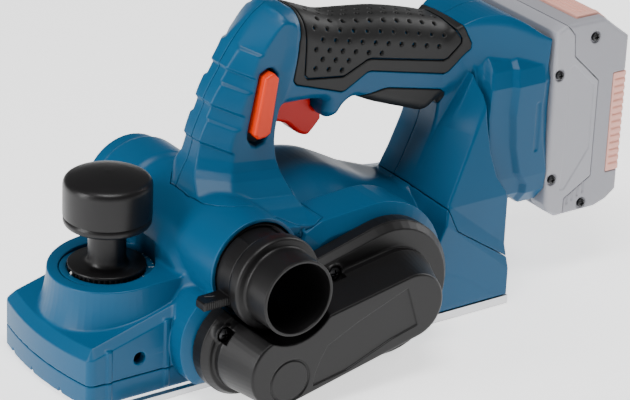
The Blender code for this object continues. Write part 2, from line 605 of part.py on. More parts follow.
def battery():
    shifted = [(x + GAP, z) for x, z in PACK_SEAM]
    front_side = [(PLATE_X - 8, 30), (119.5, 30)] + shifted + [(111.3, 160), (PLATE_X - 8, 160)]
    back_side = [(119.2, 30)] + PACK_SEAM + [(111, 160), (170, 160), (170, 30)]
    front = prism("pack_shell_front", pack_plan(), -PACK_HALF, PACK_HALF, PALE)
    back = prism("pack_shell_back", pack_plan(), -PACK_HALF, PACK_HALF, PALE)
    subtract(front, prism("pack_back_region", back_side, -50, 50, PALE))
    subtract(back, prism("pack_front_region", front_side, -50, 50, PALE))
    hollow = (113.2, -34.5, 41), (151.3, 34.5, 140.5)
    rails = []
    for side in (-1, 1):
        low, high = sorted((side * 17.6, side * 24.4))
        rails.append(box(f"pack_groove_{side}", (PLATE_X - 1, low, 30), (109, high, 138.4)))
        low, high = sorted((side * 17.6, side * 27.4))
        rails.append(box(f"pack_groove_lip_{side}", (107.6, low, 30), (110.8, high, 138.4)))
    slot = box("pack_contact_slot", (PLATE_X - 1, -12, 30), (112, 12, 100))
    subtract(front, box("pack_hollow_front", *hollow), slot, *rails)
    subtract(back, box("pack_hollow_back", *hollow))
    subtract(back, box("pack_button_hole", (124, -30.4, 139), (146.4, 30.4, 160)))
    crown = [(124.4, 143.4), (124.4, 151.2), (139.4, 151.2), (146, 146), (146, 143.4)]
    button = prism("battery_release", crown, -30, 30, SALMON)
    for name, side in (("pack_strip_left", -1), ("pack_strip_right", 1)):
        wrap = [
            (PACK_BACK - 9, PACK_HALF), (PACK_BACK, PACK_HALF), (PACK_BACK, PACK_HALF - 6.5), (PACK_BACK - 1.8, PACK_HALF - 6.5),
            (PACK_BACK - 1.8, PACK_HALF - 1.8), (PACK_BACK - 9, PACK_HALF - 1.8),
        ]
        prism(name, [(x, side * y) for x, y in wrap], 57, 116, SALMON, "Z")
        seat = [
            (PACK_BACK - 9.3, PACK_HALF + 5), (PACK_BACK + 5, PACK_HALF + 5), (PACK_BACK + 5, PACK_HALF - 6.8),
            (PACK_BACK - 2.1, PACK_HALF - 6.8), (PACK_BACK - 2.1, PACK_HALF - 2.1), (PACK_BACK - 9.3, PACK_HALF - 2.1),
        ]
        subtract(back, prism(name + "_seat", [(x, side * y) for x, y in seat], 56.7, 116.3, SALMON, "Z"))
    return front, back, button


def cell_pack():
    """Ten round cells lying across the pack in two columns, held by a middle frame."""
    holder = box("cell_pack", (116, -3, 44), (149, 3, 137.5), BLACK)
    for row in range(5):
        for column in range(2):
            centre = (123.3 + 18.4 * column, 0, 52.4 + 19.0 * row)
            unite(holder, rod(f"cell_{row}_{column}", centre, "Y", 9.0, -32.5, 32.5, STEEL, 14))
    return holder


# ---------------------------------------------------------------- sole

def rear_sole():
    plate = [(-84, BODY_LEFT), (SOLE_BACK, BODY_LEFT), (SOLE_BACK, HALF_WIDTH), (-84, HALF_WIDTH)]
    sole = prism("rear_sole", plate, 0, SOLE_TOP, ALLOY, "Z")
    arm = box("sole_arm", (-170, BODY_LEFT, 0), (-80, BODY_LEFT + 3.4, 3.4), ALLOY)
    unite(sole, arm)
    for index, (x, y) in enumerate(SOLE_SCREWS):
        hole = turned(f"sole_screw_hole_{index + 1}", [(0, -1), (4.6, -1), (4.6, 1.2), (2.4, 3.2), (2.4, 9), (0, 9)], (x, y, 0), "Z", ALLOY, 16)
        subtract(sole, hole)
        turned(f"sole_screw_{index + 1}", [(0, 0.4), (4.2, 0.4), (4.2, 1.3), (2.0, 3.1), (2.0, 4.8), (0, 4.8)], (x, y, 0), "Z", STEEL, 16)
    return sole


SOLE_SCREWS = [(-66, -30), (-66, 30), (56, 0)]


# each moving group of pieces, with a point on its joint's axis
MOVING = {
    "armature": ((MOTOR_X, 0, MOTOR_Z), ["armature_shaft", "armature_core", "commutator", "cooling_fan", "motor_pulley"]),
    "drum": ((DRUM_X, 0, DRUM_Z), ["drum_body", "drum_pulley", "blade", "blade_clamp", "clamp_screw_1", "clamp_screw_2", "clamp_screw_3"]),
    "shoe": ((KNOB_X, 0, SHOE_LIFT), ["front_shoe", "shoe_skirt"]),
    "depth_knob": ((KNOB_X, 0, DISK_TOP), ["knob_cap", "knob_stem", "depth_spindle"]),
    "deflector": ((DUCT_X, COVER_BASE, DUCT_Z), ["chip_deflector"]),
    "tube": ((DUCT_X, COVER_STEP, DUCT_Z), ["chip_tube"]),
    "trigger_pivot": (TRIGGER_PIVOT, ["trigger"]),
    "lock": (LOCK_CENTRE, ["lock_button"]),
    "pack": ((PLATE_X, 0, 95), ["pack_shell_front", "pack_shell_back", "pack_strip_left", "pack_strip_right", "cell_pack"]),
    "release": ((133.5, 0, PACK_TOP), ["battery_release"]),
}


def hang_on_axes():
    """Give each moving piece its origin on its joint's axis, under an empty placed there."""
    for group, (point, names) in MOVING.items():
        place = Vector(point) * MM
        pivot = bpy.data.objects.new(group + "_axis", None)
        pivot.location = place
        bpy.context.scene.collection.objects.link(pivot)
        for name in names:
            piece = bpy.data.objects[name]
            piece.data.transform(Matrix.Translation(-place))
            piece.parent = pivot


def smooth_round_faces():
    for obj in bpy.data.objects:
        if obj.type == "MESH":
            obj.data.shade_smooth()
            obj.data.set_sharp_from_angle(angle=math.radians(30))


def build():
    for obj in list(bpy.data.objects):
        bpy.data.objects.remove(obj, do_unlink=True)
    main_housing()
    handle_shell(-1)
    handle_shell(1)
    case_screws()
    grip_parts()
    belt_cover()
    cover_screws()
    chip_duct()
    chip_deflector()
    chip_tube()
    front_shoe()
    depth_knob()
    shoe_spring()
    drum()
    drive_belt()
    motor()
    controls()
    battery()
    cell_pack()
    rear_sole()
    for obj in list(bpy.data.objects):
        if obj.modifiers and not obj.hide_render:
            seal(obj)
    smooth_round_faces()
    hang_on_axes()


build()
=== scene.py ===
"""Looks of the cordless hand planer: fine surfaces, materials, studio light and camera."""
import math

import bmesh
import bpy
import numpy as np
import openvdb
from mathutils import Matrix, Vector


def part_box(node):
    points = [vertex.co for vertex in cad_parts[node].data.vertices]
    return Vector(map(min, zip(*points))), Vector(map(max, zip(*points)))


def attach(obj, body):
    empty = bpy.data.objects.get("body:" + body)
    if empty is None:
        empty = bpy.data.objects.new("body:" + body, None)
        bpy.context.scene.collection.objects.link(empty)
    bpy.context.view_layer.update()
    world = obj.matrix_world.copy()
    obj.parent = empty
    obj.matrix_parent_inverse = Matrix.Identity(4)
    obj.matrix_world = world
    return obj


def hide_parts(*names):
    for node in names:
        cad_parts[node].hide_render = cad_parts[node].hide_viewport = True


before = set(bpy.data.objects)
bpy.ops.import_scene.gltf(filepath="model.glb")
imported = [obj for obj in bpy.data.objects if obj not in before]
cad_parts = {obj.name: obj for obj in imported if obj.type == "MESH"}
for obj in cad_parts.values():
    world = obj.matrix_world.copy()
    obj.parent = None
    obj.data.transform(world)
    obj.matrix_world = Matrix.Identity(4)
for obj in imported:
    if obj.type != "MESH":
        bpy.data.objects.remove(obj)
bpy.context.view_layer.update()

MM = 0.001
PITCH = 0.6        # spacing of the distance grids, in millimetres
FINE_PITCH = 0.45
SCREW_PITCH = 0.16
FAR = 60.0


def node_box(name):
    low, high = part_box(name)
    return np.array(low) / MM, np.array(high) / MM


def node_centre(name):
    low, high = node_box(name)
    return (low + high) / 2


# axes and faces that the pieces share with the frame, in millimetres
KNOB_X = node_centre("knob_cap")[0]
KNOB_TOP = node_box("knob_cap")[1][2]
DISK_LOW = node_box("knob_stem")[0][2]
DUCT_X, _, DUCT_Z = node_centre("chip_tube")
TUBE_END = node_box("chip_tube")[0][1]
DRUM_X, _, DRUM_Z = node_centre("drum_bearing_left")
MOTOR_X, _, MOTOR_Z = node_centre("motor_bearing_left")
COVER_FACE = node_box("belt_cover")[0][1]
COVER_BASE = node_box("belt_cover")[1][1]
SOLE_LEFT = node_box("rear_sole")[0][1]
SOLE_BACK = node_box("rear_sole")[1][0]
SIDE = node_box("shoe_skirt")[1][1]
FRONT = node_box("shoe_skirt")[0][0]
SHOE_LOW = node_box("shoe_skirt")[0][2]
PARTING_Z = node_box("shoe_skirt")[1][2]
PACK_LOW, PACK_HIGH = node_box("pack_shell_front")[0], node_box("pack_shell_back")[1]
PLATE_X = PACK_LOW[0] - 0.3
DRUM = (DRUM_X, DRUM_Z)
MOTOR = (MOTOR_X, MOTOR_Z)
DUCT = (DUCT_X, 0, DUCT_Z)
KNOB = (KNOB_X, 0, 0)


# ---------------------------------------------------------------- distance grids

class Solid:
    """A shape held as signed distances on a regular grid, negative inside, in millimetres."""

    def __init__(self, low, high, pitch=None):
        self.pitch = pitch or PITCH
        self.low = np.array(low, float)
        self.count = np.ceil((np.array(high, float) - self.low) / self.pitch).astype(int) + 1
        self.value = np.full(self.count, FAR, np.float32)
        self.axes = [(self.low[i] + self.pitch * np.arange(self.count[i])).astype(np.float32) for i in range(3)]

    def window(self, low, high, margin):
        """Slices of the grid around a box, and the coordinates there."""
        cuts = []
        for i in range(3):
            first = int(np.floor((low[i] - margin - self.low[i]) / self.pitch))
            last = int(np.ceil((high[i] + margin - self.low[i]) / self.pitch)) + 1
            cuts.append(slice(min(max(first, 0), self.count[i]), max(min(last, self.count[i]), 0)))
        x = self.axes[0][cuts[0]][:, None, None]
        y = self.axes[1][cuts[1]][None, :, None]
        z = self.axes[2][cuts[2]][None, None, :]
        return tuple(cuts), x, y, z

    def add(self, shape, blend=0.0):
        low, high, distance = shape
        cuts, x, y, z = self.window(low, high, blend + 2 * self.pitch)
        self.value[cuts] = smooth_min(self.value[cuts], distance(x, y, z), blend)
        return self

    def cut(self, shape, blend=0.0):
        low, high, distance = shape
        cuts, x, y, z = self.window(low, high, blend + 2 * self.pitch)
        self.value[cuts] = -smooth_min(-self.value[cuts], distance(x, y, z), blend)
        return self

    def keep(self, distance, blend=0.0):
        """Cut the whole shape to where a distance function is negative."""
        _, x, y, z = self.window(self.low, self.low + self.count * self.pitch, 0)
        self.value = -smooth_min(-self.value, -distance(x, y, z), blend)
        return self

    def copy(self, low, high):
        """The part of the grid inside a box, as a shape of its own."""
        cuts, x, y, z = self.window(low, high, 0)
        part = Solid.__new__(Solid)
        part.pitch = self.pitch
        part.axes = [x.ravel(), y.ravel(), z.ravel()]
        part.low = np.array([axis[0] for axis in part.axes], float)
        part.value = self.value[cuts].copy()
        part.count = np.array(part.value.shape)
        return part

    def at(self, x, y, z):
        """Distances on another grid's points, by interpolation."""
        result = self.value
        for i, axis in enumerate((x, y, z)):
            spot = np.clip((axis.ravel() - self.low[i]) / self.pitch, 0, self.count[i] - 1.001)
            base = np.floor(spot).astype(int)
            shape = [1, 1, 1]
            shape[i] = len(spot)
            t = (spot - base).astype(np.float32).reshape(shape)
            result = np.take(result, base, axis=i) * (1 - t) + np.take(result, base + 1, axis=i) * t
        return result

    def mesh(self, name, look, body, replaced, slot):
        """Make the surface a scene object that stands for CAD nodes."""
        band = 4 * self.pitch
        value = np.clip(self.value, -band, band)
        for axis in range(3):
            edge = [slice(None)] * 3
            for end in (0, -1):
                edge[axis] = end
                value[tuple(edge)] = band
        grid = openvdb.FloatGrid(background=band)
        grid.copyFromArray(value)
        points, triangles, quads = grid.convertToPolygons(isovalue=0.0, adaptivity=0.0)
        points, normals = self.settle(np.array(points))
        faces = [tuple(reversed(q)) for q in quads.tolist()] + [tuple(reversed(t)) for t in triangles.tolist()]
        mesh = bpy.data.meshes.new(name)
        mesh.from_pydata(((self.low + points * self.pitch) * MM).tolist(), [], faces)
        mesh.shade_smooth()
        bm = bmesh.new()
        bm.from_mesh(mesh)
        if bm.calc_volume(signed=True) < 0:
            bmesh.ops.reverse_faces(bm, faces=bm.faces)
            bm.to_mesh(mesh)
        bm.free()
        mesh.normals_split_custom_set_from_vertices(normals.tolist())
        return place(name, mesh, look, body, replaced)

    def sample(self, points):
        """Distances at free points, given in grid steps."""
        base = np.clip(np.floor(points).astype(int), 0, self.count - 2)
        t = (points - base).astype(np.float32)
        result = np.zeros(len(points), np.float32)
        for corner in range(8):
            bits = np.array([(corner >> k) & 1 for k in range(3)])
            weight = np.prod(np.where(bits, t, 1 - t), axis=1)
            index = base + bits
            result += weight * self.value[index[:, 0], index[:, 1], index[:, 2]]
        return result

    def settle(self, points):
        """Move vertices onto the surface and find the surface's normals there."""
        for _ in range(2):
            gradient = self.slope(points)
            size = np.maximum(np.linalg.norm(gradient, axis=1, keepdims=True), 0.3)
            step = self.sample(points)[:, None] / self.pitch * gradient / size ** 2
            points = points - np.clip(step, -0.5, 0.5)
        gradient = self.slope(points)
        return points, gradient / np.maximum(np.linalg.norm(gradient, axis=1, keepdims=True), 1e-6)

    def slope(self, points):
        """Gradient of the distance at free points, given in grid steps."""
        reach = 0.6
        parts = []
        for axis in range(3):
            step = np.zeros(3)
            step[axis] = reach
            parts.append((self.sample(points + step) - self.sample(points - step)) / (2 * reach * self.pitch))
        return np.stack(parts, 1)


def smooth_min(a, b, blend):
    """Union of two distances with a soft join of the given width."""
    if blend <= 0:
        return np.minimum(a, b)
    near = np.maximum(blend - np.abs(a - b), 0) / blend
    return np.minimum(a, b) - near * near * (blend / 4)


def rounded_edge(a, b, radius):
    """Meet of two distances with a round convex edge."""
    if np.ndim(radius) == 0 and radius <= 0:
        return np.maximum(a, b)
    outside = np.sqrt(np.maximum(a + radius, 0) ** 2 + np.maximum(b + radius, 0) ** 2)
    return outside + np.minimum(np.maximum(a + radius, b + radius), 0) - radius


def chamfered_edge(a, b, size_a, size_b):
    """Meet of two distances with a flat bevel that takes size_a off a's face and size_b off b's."""
    length = math.hypot(size_a, size_b)
    bevel = (a * size_a + b * size_b + size_a * size_b) / length
    return np.maximum(np.maximum(a, b), bevel)


def outline_distance(points, u, w):
    """Signed distance to a closed outline on the grid of u (a column) and w (a row)."""
    best = None
    inside = np.zeros(np.broadcast(u, w).shape, bool)
    count = len(points)
    for i in range(count):
        (au, aw), (bu, bw) = points[i], points[(i + 1) % count]
        du, dw = bu - au, bw - aw
        length = du * du + dw * dw
        if length < 1e-9:
            continue
        along = np.clip(((u - au) * du + (w - aw) * dw) / length, 0, 1)
        square = (u - au - along * du) ** 2 + (w - aw - along * dw) ** 2
        best = square if best is None else np.minimum(best, square)
        if aw != bw:
            crosses = ((aw > w) != (bw > w)) & (u < du * (w - aw) / dw + au)
            inside ^= crosses
    distance = np.sqrt(best)
    return np.where(inside, -distance, distance).astype(np.float32)


def flat_box(points):
    """Opposite corners of the box around flat points."""
    array = np.array(points, float)
    return array.min(0), array.max(0)


# Each shape is its box's low and high corners, and its distance function.

def extruded(outline, axis, low, high, edge):
    """A flat outline drawn out along an axis, with rounded edges."""
    corner_low, corner_high = flat_box(outline)
    first, second = [other for other in range(3) if other != axis]

    def distance(*point):
        side = outline_distance(outline, point[first], point[second])
        ends = np.maximum(low - point[axis], point[axis] - high)
        return rounded_edge(side, ends, edge)
    return np.insert(corner_low, axis, low), np.insert(corner_high, axis, high), distance


def prism(outline, low, high, edge=0.0):
    """An (x, z) outline drawn out along Y."""
    return extruded(outline, 1, low, high, edge)


def plan(outline, low, high, edge=0.0):
    """An (x, y) outline drawn out along Z."""
    return extruded(outline, 2, low, high, edge)


def across(outline, low, high, edge=0.0):
    """A (y, z) outline drawn out along X."""
    return extruded(outline, 0, low, high, edge)


def cylinder(centre, axis, radius, low, high, edge=0.0):
    """A round rod along Y or Z."""
    cx, cy, cz = centre

    def distance(x, y, z):
        if axis == "Y":
            out, along = np.sqrt((x - cx) ** 2 + (z - cz) ** 2), y
        else:
            out, along = np.sqrt((x - cx) ** 2 + (y - cy) ** 2), z
        return rounded_edge(out - radius, np.maximum(low - along, along - high), edge)
    if axis == "Y":
        return (cx - radius, low, cz - radius), (cx + radius, high, cz + radius), distance
    return (cx - radius, cy - radius, low), (cx + radius, cy + radius, high), distance


def block(low, high, edge=0.0):
    """A box with rounded edges."""
    low, high = np.array(low, float), np.array(high, float)

    def distance(x, y, z):
        a = np.maximum(low[0] - x, x - high[0])
        b = np.maximum(low[1] - y, y - high[1])
        c = np.maximum(low[2] - z, z - high[2])
        return rounded_edge(rounded_edge(a, b, edge), c, edge)
    return low, high, distance


def both_sides(near, far):
    """The Y ranges from near to far, on the left and on the right."""
    return (-far, -near), (near, far)


def arc(cx, cy, radius, start, end, steps):
    """Points on a circle between two angles in degrees."""
    angles = [math.radians(start + (end - start) * i / steps) for i in range(steps + 1)]
    return [(cx + radius * math.cos(a), cy + radius * math.sin(a)) for a in angles]


def belt_outline(front, back, front_r, back_r, steps=24):
    """Outline of a belt around two circles, joined by their outer tangents."""
    dx = back[0] - front[0]
    dz = back[1] - front[1]
    heading = math.degrees(math.atan2(dz, dx))
    lean = math.degrees(math.asin((back_r - front_r) / math.hypot(dx, dz)))
    around_front = arc(*front, front_r, heading + 90 + lean, heading + 270 - lean, steps)
    around_back = arc(*back, back_r, heading - 90 - lean, heading + 90 + lean, steps)
    return around_front + around_back


def smooth_curve(points, steps=5, closed=False):
    """Points on a smooth curve through the given points."""
    count = len(points)
    array = [np.array(p, float) for p in points]
    result = []
    for i in range(count if closed else count - 1):
        p1, p2 = array[i], array[(i + 1) % count]
        p0 = array[i - 1] if closed or i > 0 else 2 * p1 - p2
        p3 = array[(i + 2) % count] if closed or i < count - 2 else 2 * p2 - p1
        for k in range(steps):
            t = k / steps
            a = 2 * p1 + (p2 - p0) * t
            b = (2 * p0 - 5 * p1 + 4 * p2 - p3) * t * t
            c = (3 * p1 - p0 - 3 * p2 + p3) * t ** 3
            result.append(tuple((a + b + c) / 2))
    if not closed:
        result.append(tuple(array[-1]))
    return result


# ---------------------------------------------------------------- scene objects

def place(name, mesh, look, body, replaced=()):
    """Put a mesh in the scene on a body, standing for the CAD nodes that it replaces."""
    mesh.materials.append(look)
    obj = bpy.data.objects.new(name, mesh)
    bpy.context.scene.collection.objects.link(obj)
    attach(obj, body)
    if replaced:
        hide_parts(*replaced)
    return obj


def turned(name, profile, centre, axis, look, body, replaced=(), steps=96, sharp=35):
    """Turn a closed profile of (radius, height) points into a smooth round piece around Y or Z."""
    bm = bmesh.new()
    rings = []
    for radius, height in profile:
        if radius == 0:
            rings.append([bm.verts.new((0, 0, height))])
            continue
        angles = [2 * math.pi * i / steps for i in range(steps)]
        rings.append([bm.verts.new((radius * math.cos(a), radius * math.sin(a), height)) for a in angles])
    pairs = list(zip(rings, rings[1:]))
    if profile[0][0] != 0:
        pairs.append((rings[-1], rings[0]))
    for lower, upper in pairs:
        for i in range(steps):
            j = (i + 1) % steps
            corners = [lower[i % len(lower)], lower[j % len(lower)],
                       upper[j % len(upper)], upper[i % len(upper)]]
            bm.faces.new(list(dict.fromkeys(corners)))
    turn = Matrix() if axis == "Z" else Matrix.Rotation(math.radians(-90), 4, "X")
    bmesh.ops.transform(bm, matrix=Matrix.Translation(Vector(centre)) @ turn, verts=bm.verts)
    return finish_piece(name, bm, look, body, replaced, sharp)


def finish_piece(name, bm, look, body, replaced=(), sharp=35):
    """Make a piece of a mesh in millimetres, smooth except at edges sharper than an angle."""
    bmesh.ops.recalc_face_normals(bm, faces=bm.faces)
    if bm.calc_volume(signed=True) < 0:
        bmesh.ops.reverse_faces(bm, faces=bm.faces)
    bmesh.ops.scale(bm, vec=(MM, MM, MM), verts=bm.verts)
    mesh = bpy.data.meshes.new(name)
    bm.to_mesh(mesh)
    bm.free()
    mesh.shade_smooth()
    mesh.set_sharp_from_angle(angle=math.radians(sharp))
    return place(name, mesh, look, body, replaced)


def fillet(profile, radius, steps=4):
    """Round every corner between a profile's two ends by up to a radius."""
    points = [np.array(p, float) for p in profile]
    result = [tuple(points[0])]
    for before, p, after in zip(points, points[1:], points[2:]):
        a, b = before - p, after - p
        la, lb = np.linalg.norm(a), np.linalg.norm(b)
        reach = min(radius, la * 0.45, lb * 0.45)
        start, end = p + a / la * reach, p + b / lb * reach
        for k in range(steps + 1):
            t = k / steps
            result.append(tuple((1 - t) ** 2 * start + 2 * t * (1 - t) * p + t * t * end))
    result.append(tuple(points[-1]))
    return result


# ---------------------------------------------------------------- materials

def colour(hex_text):
    """Linear red, green and blue of a colour written as on screen."""
    values = [int(hex_text[i:i + 2], 16) / 255 for i in (0, 2, 4)]
    return tuple(v / 12.92 if v <= 0.04045 else ((v + 0.055) / 1.055) ** 2.4 for v in values)


def start_material(name):
    """A new material, its node tree, its shader and the object's coordinates."""
    made = bpy.data.materials.new(name)
    made.use_nodes = True
    tree = made.node_tree
    return made, tree, tree.nodes["Principled BSDF"], tree.nodes.new("ShaderNodeTexCoord").outputs["Object"]


def noise(tree, spot, scale, detail):
    node = tree.nodes.new("ShaderNodeTexNoise")
    node.inputs["Scale"].default_value = scale
    node.inputs["Detail"].default_value = detail
    tree.links.new(spot, node.inputs["Vector"])
    return node.outputs["Fac"]


def mapped(tree, value, low, high):
    """A value from 0 to 1, carried over to the range from low to high."""
    node = tree.nodes.new("ShaderNodeMapRange")
    node.inputs["To Min"].default_value = low
    node.inputs["To Max"].default_value = high
    tree.links.new(value, node.inputs["Value"])
    return node.outputs["Result"]


def finish_material(tree, shader, base, tone, rough, height, strength, depth):
    """Join the tinted base colour, the roughness and the bump to the shader."""
    tint = tree.nodes.new("ShaderNodeMix")
    tint.data_type = "RGBA"
    tint.blend_type = "MULTIPLY"
    tint.inputs["Factor"].default_value = 1.0
    tint.inputs["A"].default_value = (*base, 1)
    tree.links.new(tone, tint.inputs["B"])
    tree.links.new(tint.outputs["Result"], shader.inputs["Base Color"])
    tree.links.new(rough, shader.inputs["Roughness"])
    bump = tree.nodes.new("ShaderNodeBump")
    bump.inputs["Strength"].default_value = strength
    bump.inputs["Distance"].default_value = depth * MM
    tree.links.new(height, bump.inputs["Height"])
    tree.links.new(bump.outputs["Normal"], shader.inputs["Normal"])


def plastic(name, base, rough, grain=0.12, grain_size=0.35, variation=0.05, specular=0.5):
    """Moulded plastic: fine spark-eroded grain, slight colour drift and a satin sheen."""
    made, tree, shader, spot = start_material(name)
    shader.inputs["Specular IOR Level"].default_value = specular
    fine = noise(tree, spot, 1.0 / (grain_size * MM), 2.0)
    wide = noise(tree, spot, 28.0, 3.0)
    tone = mapped(tree, wide, 1 - variation, 1 + variation)
    sheen = mapped(tree, fine, rough - 0.06, rough + 0.06)
    finish_material(tree, shader, base, tone, sheen, fine, grain, 0.05)
    return made


def metal(name, base, rough, streak=(1.0, 1.0, 1.0), strength=0.1):
    """Machined metal with fine tool streaks."""
    made, tree, shader, spot = start_material(name)
    shader.inputs["Metallic"].default_value = 1.0
    stretch = tree.nodes.new("ShaderNodeMapping")
    stretch.inputs["Scale"].default_value = streak
    tree.links.new(spot, stretch.inputs["Vector"])
    grain = noise(tree, stretch.outputs["Vector"], 600.0, 3.0)
    sheen = mapped(tree, grain, rough - 0.08, rough + 0.1)
    finish_material(tree, shader, base, mapped(tree, grain, 0.85, 1.1), sheen, grain, strength, 0.04)
    return made


BLUE = plastic("blue_housing", colour("004a6e"), 0.4, grain=0.25, grain_size=0.45, variation=0.06,
               specular=0.25)
BLACK = plastic("black_plastic", colour("0c0b0c"), 0.42, grain=0.3, grain_size=0.4, variation=0.1, specular=0.3)
KNOB_BLACK = plastic("knob_black", colour("121112"), 0.36, grain=0.45, grain_size=0.5, variation=0.1,
                     specular=0.3)
DARK = plastic("duct_black", colour("0e0e0e"), 0.55, grain=0.3, grain_size=0.4, variation=0.1, specular=0.3)
RUBBER = plastic("soft_grip", colour("161616"), 0.5, grain=0.2, grain_size=0.3, variation=0.08, specular=0.3)
RED = plastic("trigger_red", colour("c40c00"), 0.36, grain_size=0.4, variation=0.04, specular=0.25)
ORANGE = plastic("lock_orange", colour("e03400"), 0.34, grain=0.1, grain_size=0.4, variation=0.04, specular=0.25)
PALE = plastic("pack_grey", colour("a2a2a9"), 0.45, grain=0.2, grain_size=0.4, variation=0.04)
PALE_DARK = plastic("pack_grey_rear", colour("98989f"), 0.45, grain=0.2, grain_size=0.4, variation=0.04)
SALMON = plastic("pack_salmon", colour("eeb0a0"), 0.42, grain=0.12, grain_size=0.4, variation=0.04)
WHITE = plastic("scale_white", colour("e8e8e4"), 0.5, grain=0.05, grain_size=0.4, variation=0.02)
ALLOY = metal("machined_alloy", (0.62, 0.62, 0.63), 0.32, streak=(0.08, 1.0, 1.0), strength=0.25)
STEEL = metal("plain_steel", (0.5, 0.5, 0.5), 0.3)
BLADE = metal("blade_steel", (0.66, 0.66, 0.67), 0.2, streak=(1.0, 0.05, 1.0))
DARK_STEEL = metal("black_screw", (0.05, 0.05, 0.052), 0.38)
COPPER = metal("copper_parts", (0.75, 0.36, 0.22), 0.3)


# ---------------------------------------------------------------- blue casing

NOSE_CORNER = 4.0
NOSE_BOW = 5.0
RIM_SLOPE = 0.276
RIM_WIDE = 4.0
RIM_HIGH = 4.6
CREST_Z = 57.7
CREST_R = 34.0
BARREL_R = 26.4
BARREL = (DUCT_X + 0.5, 0, DUCT_Z + 0.5)
BARREL_LEFT = -59.3
BARREL_RIGHT = node_box("main_housing")[1][1] - 0.2
SEAM = 0.16                          # half the gap between two shells
ARCH_DROP = 8.3
LID_Z = DISK_LOW - 0.4               # floor of the recess around the knob
HOUSING_LOW = 5.4
RIBS = (-175.5, -141.5)              # upright ribs on the nose's left side
RIB_HALF = 1.5
GUIDE_HOLE = (-157.5, 0, 22.8)
GUIDE_HOLE_R = 3.3
COLUMN_HALF = 17.4
ROOT_HALF = 14.9                     # half width of the rear column at its front edge

MID_TOP = [(-128, 70), (-112, 82), (-90, 85), (-70, 86), (-50, 88), (-35, 89.5), (-23, 87.3), (-14, 83.5),
           (-4, 78.3), (5, 73.5), (15, 69.5), (27, 65), (41.5, 59.5), (56, 49.5), (SOLE_BACK - 0.5, 38)]
COLUMN_FRONT = [(-112, 80), (-110.6, 91), (-107.4, 99.5), (-103.6, 107), (-99.9, 121), (-95.6, 133),
                (-92.6, 140.9), (-88.6, 148.6), (-83.6, 157.2), (-78.2, 166.4), (-71.5, 174.2), (-65.5, 179.6),
                (-59.5, 182.4), (-52, 181.4), (-43, 178)]
COLUMN_REAR = [(-51, 185), (-50.9, 167.6), (-52.2, 153.3), (-55.8, 141), (-59.6, 128), (-61.5, 116),
               (-61.2, 106), (-59.4, 96), (-57.4, 88), (-55.6, 82), (-53.6, 77), (-51, 70)]
FLARE = [(78, 52), (79.5, 46), (82, 38), (86, 30), (93, 23), (97, 20.2), (102, 18.2), (112, COLUMN_HALF)]
BEVEL_DEPTH = [(125, 15), (141, 13.6), (151, 11), (160, 9), (170, 6), (179, 3.5)]
BEVEL_START = [(150, 6.7), (165, 6.2), (178, 1.5)]
GRIP_TOP = [(-60, 181.5), (-50, 180), (-42.3, 177.6), (-32, 173.4), (-22.1, 170.2), (-4, 168), (13.6, 165.6),
            (34, 160.6), (50.7, 155.4), (62, 152)]
GRIP_LOW = [(62, 126), (46, 116.5), (35, 109.6), (24, 112.5), (2, 120.5), (-11, 126), (-18, 123.5),
            (-22.5, 118.5), (-28.5, 117.6), (-31.5, 121), (-33, 129), (-60, 131)]
REAR_FRONT = [(21, 47), (30, 67), (34.5, 77), (39, 87), (42.4, 95), (44.3, 103), (45, 115), (46, 130)]
REAR_TOP = [(46, 146), (54, 153.5), (66.7, 158.2), (80, 157.7), (90, 153), (97.5, 147.5), (PLATE_X - 1, 143.2)]
PLATE_HALF = 33.8
PLATE_EDGE = [(-12, 41), (-15.4, 41), (-26.8, 47.5), (-32.7, 55.7), (-PLATE_HALF, 66), (-PLATE_HALF, 120),
              (-31, 129), (-27, 133.3), (-10.6, 143.2)]
PLATE_START = [(61, 11), (69, 5.4), (85, 1.6), (104, 0), (124, 1.4), (136, 4.4)]
PLATE_STEPS = [(62, -9), (64, -6), (65.4, -0.4), (67, 0), (78.5, 0.6), (81.5, 3.4), (99, 3.4), (PLATE_X, 0.2)]
SHOULDER = [(10, HOUSING_LOW), (10, 60), (24, 64), (30, 69), (35, 77), (60, 128), (62.5, 118), (62, 104),
            (63, 87), (66, 74), (71.5, 65), (SOLE_BACK - 0.4, 61), (SOLE_BACK - 0.4, HOUSING_LOW)]
HANDLE_ZONE = [(-50, 98), (0, 98), (16, 82), (22, 72.5), (29.5, 66.6), (31.6, 63.4), (36, 51.2), (74.9, 25.6),
               (130, 22.6), (130, 200), (-60, 200), (-60, 98)]
FOOT_SIDE = [(-130, 200), (-130, 88), (-108, 84), (-95, 84), (-85, 80), (-75, 75), (-68, 71), (-57.5, 73),
             (-53.5, 79), (-51, 100), (-51, 200)]
FOOT_PLAN = [(-111, 0), (-111.6, -13), (-110.5, -25), (-107, -34), (-102, -40), (-94, -42), (-85, -41),
             (-76, -43.5), (-69, -51), (-60, -53), (-51, -50), (-48, 0)]
LEDGES = (109.0, 88.8, 68.6)         # where each scale of the column ends, measured up along it
LOCK_RECESS = [(-68.2, 153.4), (-65.2, 153.2), (-61.8, 149.0), (-65.6, 118.4), (-69, 113.2), (-73.6, 111.6),
               (-76.6, 112.6), (-78.9, 116.6), (-78.7, 120.6), (-72.6, 151.0)]
LOCK_SIDE = [(-67.6, 151.9), (-66.0, 151.6), (-63.2, 148.4), (-67.2, 119.0), (-70.0, 117.2), (-74.8, 116.8),
             (-77.4, 119.6), (-71.6, 150.0)]
TRIGGER_SIDE = [(-56, 133), (-57, 119.4), (-52, 116.6), (-48, 115.0), (-43.8, 111.4), (-40, 107.9),
                (-35.6, 105.9), (-32.4, 106.6), (-24.6, 115.2), (-25.0, 118.6), (-32.0, 121.6), (-33, 126),
                (-37, 128.4)]


